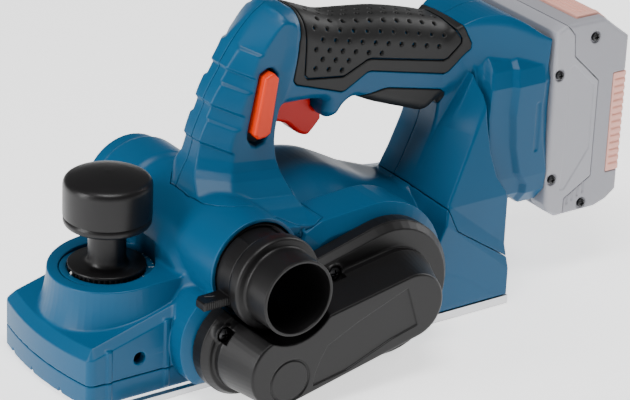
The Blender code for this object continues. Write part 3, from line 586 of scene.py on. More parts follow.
def nose_top(x):
    """Height of the nose's sloping top."""
    return 30.7 + RIM_SLOPE * (x + 190)


def nose_plan(inset, back):
    """Plan of the nose: a bowed front, round corners and straight sides."""
    half = SIDE - inset
    across_front = [(half - NOSE_CORNER) * (i / 12 - 1) for i in range(25)]
    front = [(FRONT + inset + NOSE_BOW * (y / half) ** 2, y) for y in across_front]
    side_x = front[0][0] + NOSE_CORNER + 1.2
    reach = side_x - front[0][0]
    turn = [math.pi / 2 * k / 6 for k in range(6)]
    left = [(side_x - reach * math.sin(a), -half + NOSE_CORNER * (1 - math.cos(a))) for a in turn]
    right = [(x, -y) for x, y in reversed(left)]
    return [(back, -half)] + left + front + right + [(back, half)]


def nose(x, y, z):
    """The nose above the parting line, with a broad bevel around its top."""
    outline = outline_distance(nose_plan(0, -90), x, y)
    top = (z - nose_top(x)) / math.hypot(1, RIM_SLOPE)
    body = chamfered_edge(outline, top, RIM_WIDE, RIM_HIGH)
    return np.maximum(body, PARTING_Z + 2 * SEAM - z)


def pedestal(x, y, z):
    """Raised base of the knob: a round front with a hollow flank, drawn out to the duct behind."""
    crest = arc(KNOB_X + 4, 0, CREST_R, 90, 270, 30) + [(-100, -CREST_R), (-100, CREST_R)]
    top = np.minimum(CREST_Z, CREST_Z + 0.085 * (x + 142))
    depth = np.clip((top - z) / 22, 0, 1.4)
    lean = np.clip((x - KNOB_X) / 40, 0, 1)
    spread = 0.4 + (4.2 + 1.5 * lean) * depth ** 1.9
    side = outline_distance(crest, x, y) - spread
    return rounded_edge(side * 0.95, z - top, 0.7)


def motor_body():
    """The body over the drum and the motor."""
    outline = [(-128, 16), (-128, 95), (SOLE_BACK - 0.5, 95), (SOLE_BACK - 0.5, 8.5),
               (SOLE_BACK - 2.5, HOUSING_LOW), (-100, HOUSING_LOW)]
    sides = prism(outline, SOLE_LEFT + 0.2, SIDE, 3.0)
    line = smooth_curve(MID_TOP, 4)

    def distance(x, y, z):
        """The top is crowned: it falls away towards both sides."""
        crown = along_table(line, x)
        drop = 0.0165 * np.maximum(np.abs(y - 5) - 10, 0) ** 2
        return rounded_edge(sides[2](x, y, z), (z - crown + drop) * 0.8, 3.0)
    return sides[0], sides[1], distance


def arch():
    """Raised land around the belt cover, with a broad bevel."""
    outline = belt_outline(DRUM, MOTOR, 31.0, 44.6)
    outline = [(x, max(z, HOUSING_LOW)) for x, z in outline]
    upper_front = [(-76, 50), (-66, 75.5), (-56, 80.3), (-40, 81.6), (-22, 82.7), (-22, 50)]
    (u0, w0), (u1, w1) = flat_box(outline)

    def distance(x, y, z):
        side = np.minimum(outline_distance(outline, x, z), outline_distance(upper_front, x, z))
        land = chamfered_edge(side, COVER_BASE + 0.4 - y, 4.0, ARCH_DROP)
        return np.maximum(land, y + 30)
    return (u0, COVER_BASE, w0), (u1, -30, w1), distance


def scale_lift(x, z):
    """Height of the three overlapping scales down the column, on its front and on its bevels."""
    along = 0.3816 * x + 0.9243 * z
    on_front, on_bevel = 0, 0
    for ledge in LEDGES:
        above = along - ledge
        lower_edge = np.clip(above / 0.9 + 0.5, 0, 1)
        on_front = on_front + lower_edge * np.clip(1 - above / 17, 0, 1) * 1.3
        on_bevel = on_bevel + lower_edge * np.clip((13.2 - above) / 1.8, 0, 1) * 1.5
    return on_front, on_bevel


def along_table(table, value):
    """Values read from a table of points, at the places given by an array."""
    points = np.array(table, float)
    return np.interp(value.ravel(), points[:, 0], points[:, 1]).reshape(value.shape)


def far_corner(x, y):
    """Distance outside the slanted corner that ends the foot of the column on the right-hand side."""
    return ((y - 15) * 8.2 - (x + 102.8) * 10) / math.hypot(8.2, 10)


def column(x, y, z):
    """Front column of the handle: flat sides that flare at the foot, a bevelled front with stepped scales."""
    front_line = smooth_curve(COLUMN_FRONT, 4) + [(60, 170), (60, 60), (-112, 60)]
    rear_line = [(-140, 185)] + smooth_curve(COLUMN_REAR, 4) + [(-140, 70)]
    front = outline_distance(front_line, x, z)
    rear = outline_distance(rear_line, x, z)
    on_front, on_bevel = scale_lift(x, z)
    level = z + 0.12 * (x + 57)
    half = along_table(FLARE, level)
    flare_slope = along_table(FLARE, level - 0.5) - along_table(FLARE, level + 0.5)
    side = (np.abs(y) - half) / np.sqrt(1 + flare_slope ** 2)
    start = along_table(BEVEL_START, z) + np.maximum(half - COLUMN_HALF, 0)
    slope = 10.6 / along_table(BEVEL_DEPTH, z)
    bevel = (np.abs(y) - start + slope * front) / np.sqrt(1 + slope * slope) - on_bevel * (front > -20)
    face = rounded_edge(front - on_front, bevel, 0.8)
    sides = chamfered_edge(side, rear, 0.9, 1.8)
    body = rounded_edge(face, sides, 0.7)
    return np.maximum(rounded_edge(body, far_corner(x, y), 2.5), 66 - z)


def grip(x, y, z):
    """The bar of the handle, rounder above than below."""
    outline = smooth_curve(GRIP_TOP, 4) + smooth_curve(GRIP_LOW, 4)
    side = outline_distance(outline, x, z)
    middle = 148 - 0.24 * (x + 20)
    radius = 5.5 + 8.0 * np.clip((z - middle) / 14 + 0.5, 0, 1)
    return rounded_edge(side, np.abs(y) - 18.2, radius)


def rear_front_edge(z):
    """Where the front edge of the rear column lies at a height."""
    return 30 + 0.45 * (np.minimum(z, 99) - 67)


def rear_column(x, y, z):
    """Upper part of the rear column: a wedge in plan under a faceted top."""
    outline = smooth_curve(REAR_FRONT, 4) + smooth_curve(REAR_TOP, 4)
    outline += [(PLATE_X - 6, 60), (80, 44), (SOLE_BACK - 1, 22), (48, 36), (20, 56)]
    side = outline_distance(outline, x, z)
    wedge = (np.abs(y) - ROOT_HALF - 0.347 * (x - rear_front_edge(z))) / 1.06
    spread = 24 + 0.006 * np.maximum(x - 50, 0) ** 2
    top = chamfered_edge(side, np.abs(y) - spread, 5.0, 6.5)
    return rounded_edge(top, wedge, 1.5)


def shoulder(x, y, z):
    """Foot of the rear column: hollow flanks sweep out to a crease, with a leaning wall behind it."""
    rise = z - 63.5
    front = rear_front_edge(z)
    crease = 31 + 0.618 * rise
    along = ((x - 12.5) * 48.7 + (z - 68.8) * 61) / math.hypot(48.7, 61)
    wall = 50.7 - 4.7 * np.clip(along / 10, 0, 1) - 0.218 * np.maximum(rise, 0)
    wall = wall - (y > 0) * (1.9 + np.minimum(2.2 * np.maximum(z - 52, 0), 26))
    slope = (wall - ROOT_HALF) / np.maximum(crease - front, 2.5)
    flank = (np.abs(y) - ROOT_HALF - slope * (x - front)) / np.sqrt(1 + slope * slope)
    side = (np.abs(y) - wall) / 1.03
    ends = outline_distance(SHOULDER, x, z)
    return rounded_edge(rounded_edge(side, flank, 1.0), ends, 0.8)


def plate_housing(x, y, z):
    """Housing behind the battery plate: its sides step out twice, then taper to the plate."""
    half = PLATE_HALF + along_table(PLATE_STEPS, x - along_table(PLATE_START, z))
    edge = PLATE_EDGE + [(-edge_y, edge_z) for edge_y, edge_z in reversed(PLATE_EDGE)]
    side = outline_distance(edge, y * PLATE_HALF / half, z)
    low = -0.609 * (x - 75.6) - 0.795 * (z - 61)
    ends = np.maximum(62 - x, x - PLATE_X)
    return rounded_edge(np.maximum(side, low), ends, 0.9)


def nose_rib(x, low, high, edge):
    return block((x - RIB_HALF, -SIDE - 0.9, low), (x + RIB_HALF, -30, high), edge)


def casing():
    """The whole blue casing in one piece, before it is split into its shells."""
    solid = Solid((FRONT - 1.5, -61, 4.2), (112, BARREL_RIGHT + 1.7, 185))
    solid.add(((FRONT, -SIDE, PARTING_Z), (-90, SIDE, 62), nose))
    solid.add(((FRONT, -50, 26), (-100, 50, CREST_Z), pedestal), 1.2)
    solid.add(motor_body(), 2)
    solid.add(cylinder(BARREL, "Y", BARREL_R, BARREL_LEFT, BARREL_RIGHT, 0.5), 6.0)
    solid.add(cylinder(BARREL, "Y", 28.2, 30, 54.5, 2.0), 5.0)
    solid.add(arch(), 1.5)
    solid.add(((-116, -53, 64), (-48, 53, 184), column), 2.0)
    solid.add(((-60, -19, 105), (62, 19, 182), grip), 3.5)
    solid.add(((15, -40, 20), (PLATE_X, 40, 159), rear_column), 5.0)
    solid.add(((10, -51.5, HOUSING_LOW), (SOLE_BACK, 49.5, 130), shoulder), 0.6)
    solid.add(((62, -39, 38), (PLATE_X, 39, 147), plate_housing), 0.8)
    for low, high in both_sides(36.6, 40):
        solid.cut(block((94.6, low, 79.5), (98.4, high, 109.5), 1.6), 0.3)
    for x in RIBS:
        solid.add(nose_rib(x, PARTING_Z + 2 * SEAM, nose_top(x) - RIM_HIGH + 1.2, 0.6), 0.8)
    solid.cut(cylinder(GUIDE_HOLE, "Y", GUIDE_HOLE_R, -SIDE - 5, -30), 0.5)
    solid.cut(prism(LOCK_RECESS, -60, -11.0), 1.6)
    return solid


def shell_zone(x, y, z):
    """Where the casing belongs to the two handle shells: the foot, and all above the housing."""
    foot = np.maximum(outline_distance(FOOT_SIDE, x, z), outline_distance(FOOT_PLAN, x, -np.abs(y)))
    foot = np.maximum(foot, far_corner(x, y))
    return np.minimum(foot, outline_distance(HANDLE_ZONE, x, z))


def shell_pockets(solid):
    """Rooms for the switch, trigger, lock, electronics and terminal; the closed ones keep a wall."""
    outer = solid.value.copy()
    wall = 2.4
    pockets = [
        ((-53, -10.5, 131), (12, 10.5, 158), True),
        ((-60, -7.6, 104), (-31.5, 7.6, 135), False),
        ((-79.5, -12.5, 112), (-61.5, 12.5, 156), False),
        ((36, -22, 62), (82, 22, 142), True),
        ((80, -13, 66), (PLATE_X + 1, 13, 112), False),
        ((8, -4, 133), (60, 4, 141), True),
    ]
    for low, high, closed in pockets:
        cuts, x, y, z = solid.window(low, high, 2)
        room = block(low, high)[2](x, y, z)
        if closed:
            room = np.maximum(room, outer[cuts] + wall)
        solid.value[cuts] = np.maximum(solid.value[cuts], -room)


def housing_hollows(solid):
    """Rooms for the scale ring, spindle, chip duct, cutter drum, motor and bearings."""
    solid.cut(cylinder(KNOB, "Z", 24.8, LID_Z, CREST_Z + 9))
    solid.cut(cylinder(KNOB, "Z", 4.6, 8, CREST_Z))
    solid.cut(cylinder(BARREL, "Y", 24.2, -70, 70), 0.3)
    solid.cut(cylinder((DRUM_X, 0, DRUM_Z), "Y", 28.4, -41.6, 41.3))
    solid.cut(block((DRUM_X - 27, -41.6, -4), (DRUM_X + 22, 41.3, 20)))
    solid.cut(cylinder((MOTOR_X, 0, MOTOR_Z), "Y", 25.3, -46, 26))
    solid.cut(cylinder((MOTOR_X, 0, MOTOR_Z), "Y", 11.3, -70, 34))
    solid.cut(cylinder((DRUM_X, 0, DRUM_Z), "Y", 13.3, -70, -40))
    solid.cut(block((-182, -38, 8), (-138, 38, 26)))


def casing_shells():
    """The housing and the two handle shells, split from the whole casing."""
    whole = casing()
    housing = whole.copy((FRONT - 1.5, -61, 4.2), (SOLE_BACK + 1.5, BARREL_RIGHT + 1.7, 100))
    housing.cut(((-130, -61, 20), (130, 70, 200), lambda x, y, z: shell_zone(x, y, z) - SEAM))
    housing_hollows(housing)
    housing.mesh("housing_surface", BLUE, "root", ["main_housing"], "blue_plastic")
    for side, name, low_y, high_y in ((-1, "handle_left", -56, 0.6), (1, "handle_right", -0.6, 56)):
        shell = whole.copy((-117, low_y, 20), (112, high_y, 185))
        shell.keep(lambda x, y, z: np.maximum(shell_zone(x, y, z) + SEAM, 0.05 - side * y))
        shell_pockets(shell)
        recess_for_pads(shell, whole)
        shell.mesh(name + "_surface", BLUE, "root", [name], "blue_plastic")
    grip_rubber(whole)


# ---------------------------------------------------------------- soft grip

PAD = [(-46.2, 190), (-45.4, 178), (-44.9, 160), (-45.1, 145.5), (-43.6, 143.8), (-21.3, 140.8), (-19.8, 141.2),
       (-6.0, 147.2), (-3.4, 147.4), (44.2, 137.3), (46.6, 138.1), (54.2, 145), (54.4, 147.5), (48, 158.2),
       (44, 190)]
BAND = [(-47.4, 190), (-47.8, 177), (-49.5, 160), (-52.2, 144), (-50.6, 141.6), (-22.0, 132.2), (-19.6, 132.4),
        (-5.8, 140.0), (-3.2, 140.2), (44.6, 129.2), (47.4, 130.0), (60.3, 141.2), (60.6, 144), (54.7, 157),
        (51, 190)]
INSERT = [(-10.5, 124.6), (-7.5, 126.2), (6, 128), (9, 127.9), (43, 120.2), (46.8, 117.6), (47.3, 115),
          (41, 104), (20, 100), (-14, 116)]
DIMPLE_STEP = 8.4
DIMPLE_ROW = 5.0
DIMPLE_R = 1.15


def recess_for_pads(shell, whole):
    """Seat of the rubber: the pad, its border band and the insert under the grip are let in."""
    for outline in (PAD, BAND, INSERT):
        low, high, inside = prism(outline, -30, 30)
        cuts, x, y, z = shell.window(low, high, 2)
        body = whole.at(x, y, z)
        skin = np.maximum(inside(x, y, z) - 0.25, -1.4 - body)
        shell.value[cuts] = np.maximum(shell.value[cuts], -skin)


def rubber_skin(whole, outline, proud):
    """A skin of rubber that lies in the casing's surface and stands a little proud of it."""
    low, high = flat_box(outline)
    solid = Solid((low[0] - 2, -24, low[1] - 2), (high[0] + 2, 24, min(high[1], 184) + 2), FINE_PITCH)
    _, x, y, z = solid.window(solid.low, solid.low + solid.count * solid.pitch, 0)
    body = whole.at(x, y, z)
    region = prism(outline, -40, 40)[2](x, y, z)
    outer = rounded_edge(body - proud, region, 0.5)
    solid.value = np.maximum(outer, -1.2 - body).astype(np.float32)
    return solid


def press_dimples(solid, whole, outline):
    """Staggered rows of small round dimples, laid out around the grip."""
    reach = np.linspace(8, 32, 97)
    for row in range(-9, 10):
        column_shift = 0.5 * (row % 2)
        for step in range(-6, 7):
            x = (step + column_shift) * DIMPLE_STEP + 7.0
            centre_z = 151 - 0.24 * (x + 20)
            turn = row * DIMPLE_ROW / 18.0
            points = np.stack([np.full_like(reach, x), reach * math.sin(turn),
                               centre_z + reach * math.cos(turn)], 1)
            body = whole.sample((points - whole.low) / whole.pitch)
            hit = np.argmax(body > 0)
            px, py, pz = points[hit]
            if body[hit] <= 0 or outline_distance(outline, np.array([[px]]), np.array([[pz]]))[0, 0] > -2.6:
                continue

            def ball(gx, gy, gz, at=(px, py, pz)):
                return np.sqrt((gx - at[0]) ** 2 + (gy - at[1]) ** 2 + (gz - at[2]) ** 2) - DIMPLE_R
            solid.cut((points[hit] - 1.5, points[hit] + 1.5, ball), 0.7)


def grip_rubber(whole):
    """The dimpled pad, the band around it and the insert under the grip."""
    pad = rubber_skin(whole, PAD, 0.35)
    press_dimples(pad, whole, PAD)
    pad.mesh("grip_pad_surface", RUBBER, "root", ["grip_pad"], "black_rubber")
    band = rubber_skin(whole, BAND, 0.35)
    low, high, inside = prism(PAD, -40, 40)
    band.cut((low, high, lambda x, y, z: inside(x, y, z) - 0.75), 0.4)
    band.mesh("grip_band_surface", RUBBER, "root", (), "black_rubber")
    insert = rubber_skin(whole, INSERT, 0.3)
    insert.mesh("grip_insert_surface", RUBBER, "root", ["grip_underside"], "black_rubber")


def trigger_and_lock():
    trigger = Solid((-60, -8.5, 104), (-27, 8.5, 134.5), FINE_PITCH)
    trigger.add(prism(smooth_curve(TRIGGER_SIDE, 4, True), -7.2, 7.2, 2.2))
    trigger.mesh("trigger_surface", RED, "trigger", ["trigger"], "red_plastic")
    lock = Solid((-83, -22.5, 114), (-61, -12, 154), FINE_PITCH)
    lock.add(prism(LOCK_SIDE, -21.4, -12.9, 1.4))
    lock.mesh("lock_button_surface", ORANGE, "lock_button", ["lock_button"], "orange_plastic")


def electronics():
    """The module in the rear column, with cooling fins on its left side."""
    module = Solid((50, -15, 76), (83, 15, 142), FINE_PITCH)
    module.add(block((52, -12, 79), (81, 12, 139), 1.5))
    for step in range(9):
        low = 84 + 6 * step
        module.cut(block((53, -13, low), (80, -9.5, low + 2.5), 0.3))
    module.mesh("electronics_surface", DARK, "root", ["electronics_module"], "black_plastic")


# ---------------------------------------------------------------- belt cover

NAME_FIELD = [(-31.4, 54.2), (-24, 31.7), (-40, 27.6), (-68, 17), (-88, 13.5), (-87, 20), (-84, 27), (-80, 34),
              (-62, 42.5)]


def tapered(base_outline, base, face_outline, face, edge=0.0):
    """Solid between an outline at Y = base, by the housing, and another at Y = face, further out."""
    (u0, w0), (u1, w1) = flat_box(base_outline + face_outline)

    def distance(x, y, z):
        at_base = outline_distance(base_outline, x, z)
        at_face = outline_distance(face_outline, x, z)
        t = np.clip((base - y) / (base - face), 0, 1)
        side = at_base * (1 - t) + at_face * t
        ends = np.maximum(y - base, face - y)
        return rounded_edge(side * 0.85, ends, edge)
    return (u0, face, w0), (u1, base, w1), distance


def belt_cover():
    """The cover over the belt, hollow, with a ring over the drum's pulley and a blank name field."""
    drum_top = (DRUM_X + 3.6, DRUM_Z - 1.7)
    motor_top = (MOTOR_X - 4.5, MOTOR_Z + 4.4)
    rim = belt_outline(DRUM, MOTOR, 26.5, 39.0)
    step = belt_outline(DRUM, MOTOR, 24.1, 35.3)
    foot = belt_outline(DRUM, MOTOR, 21.3, 25.2)
    top = belt_outline(drum_top, motor_top, 19.5, 18.0)
    box = (-137, COVER_FACE - 1, 0), (20, COVER_BASE + 1, 81)
    solid = Solid(*box, FINE_PITCH)
    solid.add(tapered(rim, COVER_BASE, rim, -66.0))
    solid.add(tapered(rim, -65.6, step, -70.0, 0.3))
    solid.add(tapered(foot, -69, foot, -74.0), 1.2)
    solid.add(tapered(foot, -73.6, top, COVER_FACE, 1.0), 0.6)
    solid.keep(lambda x, y, z: 0.9 - z)
    solid.cut(cylinder(DUCT, "Y", 26.2, -110, -40), 0.8)
    solid.cut(cylinder(DUCT, "Y", 28.4, -60, -50))
    hollow_low = belt_outline(DRUM, MOTOR, 19, 22)
    hollow_top = belt_outline((DRUM_X + 2, DRUM_Z - 1), (MOTOR_X - 3, MOTOR_Z + 3), 16, 15)
    inner = Solid(*box, FINE_PITCH)
    inner.add(tapered(hollow_low, COVER_BASE + 5, hollow_top, COVER_FACE + 2.4))
    inner.cut(cylinder(DUCT, "Y", 27.9, -110, -40))
    solid.value = np.maximum(solid.value, -inner.value)
    for name in ("cover_screw_front", "cover_screw_rear"):
        x, _, z = node_centre(name)
        solid.add(cylinder((x, 0, z), "Y", 5.4, -71.2, -62, 0.5), 1.0)
        solid.cut(cylinder((x, 0, z), "Y", 4.0, -76, -68.2), 0.3)
    ring_centre = (DRUM_X + 7.0, 0, DRUM_Z - 7.4)
    solid.cut(cylinder(ring_centre, "Y", 11.9, COVER_FACE - 2, COVER_FACE + 0.6), 0.3)
    solid.add(cylinder(ring_centre, "Y", 10.9, COVER_FACE + 0.1, COVER_FACE + 2, 0.3))
    solid.cut(prism(NAME_FIELD, COVER_FACE - 2, COVER_FACE + 0.7), 0.3)
    solid.mesh("belt_cover_surface", BLACK, "root", ["belt_cover"], "black_plastic")


# ---------------------------------------------------------------- depth knob

KNURLS = 44
DISK_R = 19.4
DISK_HIGH = 4.1


def knob():
    """The cap with its seam and shallow dome, then the stem with the disk at its foot."""
    low = node_box("knob_cap")[0][2]
    cap = [(0, low)] + smooth_curve([(15.5, low), (19.6, low + 0.3), (22.0, low + 1.3), (22.7, low + 2.6)], 3)
    cap += [(22.7, low + 4.9), (22.2, low + 5.2), (22.2, low + 5.6), (22.9, low + 5.9), (23.0, low + 8)]
    cap += smooth_curve([(23.0, 99.5), (22.9, 101.6), (22.3, 103.4), (21.0, 104.6), (18.6, 105.5),
                         (13.5, 106.8), (7.0, 107.8), (0.0, KNOB_TOP)], 5)
    turned("knob_cap_surface", cap, KNOB, "Z", KNOB_BLACK, "depth_knob", ["knob_cap"],
           sharp=60)
    rim = DISK_LOW + DISK_HIGH
    stem = [(4.3, DISK_LOW), (DISK_R, DISK_LOW), (DISK_R, rim - 1.5), (20.3, rim - 1.2), (20.3, rim - 0.4),
            (19.9, rim)]
    stem += smooth_curve([(13.5, rim - 0.1), (11.4, rim + 0.4), (10.3, rim + 1.8), (9.9, rim + 4.4)], 4)
    stem += [(9.9, low - 0.3), (4.3, low - 0.3)]
    turned("knob_stem_surface", stem, KNOB, "Z", KNOB_BLACK, "depth_knob", ["knob_stem"],
           sharp=50)


def knob_knurl():
    """Round ribs around the disk."""
    bm = bmesh.new()
    height = DISK_HIGH - 1.6
    for index in range(KNURLS):
        angle = 2 * math.pi * index / KNURLS
        made = bmesh.ops.create_cone(bm, cap_ends=True, segments=8, radius1=0.8, radius2=0.8, depth=height)
        spot = Vector((DISK_R * math.cos(angle), DISK_R * math.sin(angle), DISK_LOW + height / 2))
        bmesh.ops.translate(bm, vec=spot, verts=made["verts"])
    bmesh.ops.translate(bm, vec=KNOB, verts=bm.verts)
    finish_piece("knob_knurl", bm, KNOB_BLACK, "depth_knob", ())


# ---------------------------------------------------------------- chip duct and tube

def chip_tube():
    """The port, with a thick collar and a thin lip, that is pushed into the duct."""
    inner_end = node_box("chip_tube")[1][1]
    profile = fillet([(22.2, inner_end), (22.2, -71.6), (24.6, -72.4), (25.2, -74.5), (25.2, -79.6),
                      (24.5, -81.0), (21.2, -81.4), (20.6, -82.6), (20.5, TUBE_END + 0.3), (20.1, TUBE_END), (19.0, TUBE_END),
                      (18.7, TUBE_END + 0.4), (18.3, -95), (18.3, inner_end)], 0.7, 4)
    turned("chip_tube_surface", profile, DUCT, "Y", BLACK, "chip_tube", ["chip_tube"],
           sharp=50)


def chip_duct():
    """The liner of the barrel, open towards the drum."""
    liner = Solid((DUCT_X - 26, -62, DUCT_Z - 26), (DUCT_X + 26, BARREL_RIGHT + 1, DUCT_Z + 26))
    liner.add(cylinder(DUCT, "Y", 24.0, -58.8, BARREL_RIGHT - 1, 0.3))
    liner.cut(cylinder(DUCT, "Y", 22.3, -70, 70))
    liner.cut(cylinder((DRUM_X, 0, DRUM_Z), "Y", 29.2, -43, 41))
    liner.mesh("chip_duct_surface", DARK, "root", ["chip_duct"], "black_plastic")


def chip_deflector():
    """Turning sleeve with a window on top, and its thumb tab with a toothed edge."""
    x0, z0 = DUCT_X, DUCT_Z
    sleeve = Solid((x0 - 44, -74, z0 - 26), (x0 + 26, -59, z0 + 26), FINE_PITCH)
    sleeve.add(cylinder(DUCT, "Y", 23.5, -71.4, -59.6, 0.3))
    tab = [(x0 - 38.6, -72.4), (x0 - 38.6, -65), (x0 - 36, -62.4), (x0 - 20, -61.4), (x0 - 20, -72.4)]
    sleeve.add(plan(tab, z0 - 9.6, z0 - 5.2, 0.7), 0.8)
    for step in range(12):
        x = x0 - 37.2 + 1.25 * step
        sleeve.add(cylinder((x, -72.2, 0), "Z", 0.55, z0 - 9.0, z0 - 4.7, 0.2))
    arrow = [(x0 - 34, -69.2), (x0 - 28.5, -66.8), (x0 - 34, -64.4)]
    sleeve.cut(plan(arrow, z0 - 5.6, z0 - 4), 0.2)
    sleeve.cut(cylinder(DUCT, "Y", 22.4, -80, -50))
    window = [(x0, z0)] + arc(x0, z0, 34, 68, 118, 6)
    sleeve.cut(prism(window, -70, -50), 0.4)
    sleeve.mesh("chip_deflector_surface", BLACK, "chip_deflector", ["chip_deflector"], "black_plastic")


# ---------------------------------------------------------------- depth scale

SCALE_START = -62                    # degrees around the knob
TICK_STEP = 10
TICKS_PER_NUMBER = 3
MARK_ANGLE = 176


def around_knob(angle, radius, z):
    """Placement at an angle in degrees and a radius around the knob's axis."""
    return (Matrix.Translation(KNOB) @ Matrix.Rotation(math.radians(angle), 4, "Z")
            @ Matrix.Translation((radius, 0, z)))


def depth_scale():
    """Blue scale ring in the recess, with white ticks and plain numbers."""
    top = node_box("scale_ring")[0][2] + 1.3
    ring = fillet([(20.9, top - 1.2), (20.9, top), (24.4, top), (24.4, top - 1.2)], 0.3, 2)
    turned("scale_ring_surface", ring, KNOB, "Z", BLUE, "root", ["scale_ring"], sharp=50)
    ticks = bmesh.new()
    quarter = math.radians(90)
    for step in range(13):
        length = 1.5 if step % TICKS_PER_NUMBER == 0 else 0.8
        made = bmesh.ops.create_cube(ticks, size=1.0)
        spot = around_knob(SCALE_START + TICK_STEP * step, 24.2 - length / 2, top + 0.02)
        size = Matrix.Diagonal((length, 0.3, 0.12, 1))
        bmesh.ops.transform(ticks, matrix=spot @ size, verts=made["verts"])
    finish_piece("scale_ticks", ticks, WHITE, "root")
    for index, text in enumerate(("0", "4", "8", "12", "16")):
        angle = SCALE_START + TICK_STEP * TICKS_PER_NUMBER * index
        spot = around_knob(angle, 21.9, top + 0.02) @ Matrix.Rotation(quarter, 4, "Z")
        number(text, 1.9, spot, f"scale_number_{text}")
    dot = bmesh.new()
    bmesh.ops.create_cone(dot, cap_ends=True, segments=16, radius1=0.9, radius2=0.75, depth=0.5)
    spot = around_knob(MARK_ANGLE, 20.35, DISK_LOW + 1.6) @ Matrix.Rotation(quarter, 4, "Y")
    bmesh.ops.transform(dot, matrix=spot, verts=dot.verts)
    finish_piece("knob_mark", dot, WHITE, "depth_knob")


def number(text, size, spot, name):
    """A raised numeral, as a solid mesh."""
    curve = bpy.data.curves.new(name, "FONT")
    curve.body = text
    curve.size = size
    curve.extrude = 0.08
    curve.align_x = "CENTER"
    curve.align_y = "CENTER"
    holder = bpy.data.objects.new(name + "_curve", curve)
    bpy.context.scene.collection.objects.link(holder)
    bpy.context.view_layer.update()
    shape = bpy.data.meshes.new_from_object(holder.evaluated_get(bpy.context.evaluated_depsgraph_get()))
    bpy.data.objects.remove(holder)
    bpy.data.curves.remove(curve)
    bm = bmesh.new()
    bm.from_mesh(shape)
    bpy.data.meshes.remove(shape)
    bmesh.ops.transform(bm, matrix=spot, verts=bm.verts)
    finish_piece(name, bm, WHITE, "root")


# ---------------------------------------------------------------- front shoe skirt

def shoe_skirt():
    """The wall around the front shoe below the parting line, with three notches in its lower edge."""
    skirt = Solid((FRONT - 1, -SIDE - 1.6, SHOE_LOW - 1), (-121, SIDE + 1.6, PARTING_Z + 1))
    skirt.add(plan(nose_plan(0, -122), SHOE_LOW, PARTING_Z, 0.6))
    for x in RIBS:
        skirt.add(nose_rib(x, SHOE_LOW + 1.2, PARTING_Z, 0.5), 0.6)
    skirt.cut(plan(nose_plan(2.8, -90), -5, 30))
    skirt.keep(lambda x, y, z: x + 124)
    for y in (-20, 6.5, 30):
        notch = [(y - 1.9, SHOE_LOW - 1), (y + 1.9, SHOE_LOW - 1), (y, SHOE_LOW + 3.2)]
        skirt.cut(across(notch, FRONT - 2, -175), 0.2)
    skirt.mesh("shoe_skirt_surface", BLUE, "front_shoe", ["shoe_skirt"], "blue_plastic")


# ---------------------------------------------------------------- screws

def cross_screw(name, centre, axis_turn, radius, body, look, replaced=(), slot=None):
    """Pan head screw with a cross recess; its head faces -Y before the turn."""
    head = Solid((-radius - 0.5, -2.4, -radius - 0.5), (radius + 0.5, 2.4, radius + 0.5), SCREW_PITCH)
    ball = radius * 1.9
    arm, arm_half = radius * 0.62, 0.42

    def dome(x, y, z):
        return np.sqrt(x * x + (y - ball + 1.9) ** 2 + z * z) - ball
    head.add(cylinder((0, 0, 0), "Y", radius, -2.0, 2.0, 0.35))
    head.keep(dome, 0.3)
    for a, b in ((arm, arm_half), (arm_half, arm)):
        head.cut(block((-a, -3, -b), (a, -0.4, b), 0.1), 0.15)
    obj = head.mesh(name, look, body, replaced, slot)
    obj.data.transform(Matrix.Translation(Vector(centre) * MM) @ axis_turn)


def screws():
    """Heads of the cover, case, sole and pack screws."""
    level = Matrix()
    for name in ("cover_screw_front", "cover_screw_rear"):
        x, _, z = node_centre(name)
        cross_screw(name + "_head", (x, -69.9, z), level, 3.5, "root", DARK_STEEL, [name], "steel")
    turned_round = Matrix.Rotation(math.radians(180), 4, "Z")
    for name in ("case_screw_1", "case_screw_2", "case_screw_3"):
        low, high = node_box(name)
        x, _, z = node_centre(name)
        cross_screw(name + "_head", (x, high[1] - 1.6, z), turned_round, (high[0] - low[0]) / 2, "root",
                    DARK_STEEL, [name], "steel")
    face_down = Matrix.Rotation(math.radians(90), 4, "X")
    for name in ("sole_screw_1", "sole_screw_2", "sole_screw_3"):
        low, high = node_box(name)
        x, y, _ = node_centre(name)
        cross_screw(name + "_head", (x, y, low[2] + 1.7), face_down, (high[0] - low[0]) / 2, "root", STEEL,
                    [name], "steel")
    for x, z in PACK_SCREWS:
        spot = f"{int(x)}_{int(z)}"
        cross_screw(f"pack_screw_{spot}", (x, -PACK_HALF + 0.7, z), level, 2.4, "battery", DARK_STEEL)
        cross_screw(f"pack_screw_right_{spot}", (x, PACK_HALF - 0.7, z), turned_round, 2.4, "battery",
                    DARK_STEEL)


# ---------------------------------------------------------------- battery pack

PACK_HALF = PACK_HIGH[1]
PACK_REAR = PACK_HIGH[0]
PACK_BOTTOM = PACK_LOW[2]
PACK_TOP = node_box("pack_shell_front")[1][2]
PACK_SEAM = [(119.2, 36), (119.2, 46.8), (137.2, 57), (137.2, 114), (119.2, 131.2), (118, 144), (111, 152)]
PACK_SIDE = [(PLATE_X + 0.3, 46), (108, 41), (114, PACK_BOTTOM), (142, PACK_BOTTOM), (150, 39.5),
             (PACK_REAR, 44.5), (PACK_REAR, 136.5), (148, 143), (139, PACK_TOP), (112, PACK_TOP),
             (PLATE_X + 0.3, 147)]
PACK_LABEL = [(119.8, 126), (134.2, 112), (134.2, 74), (118.6, 52.4), (115.6, 53), (116.6, 77), (116.8, 125)]
PACK_SCREWS = ((109.4, 122), (109.5, 60.4), (132.6, 140.0), (132, 41.5))
PACK_GAP = 0.18                      # half the gap between the pack's two shells
STRIP_LOW, STRIP_HIGH = 57, 116


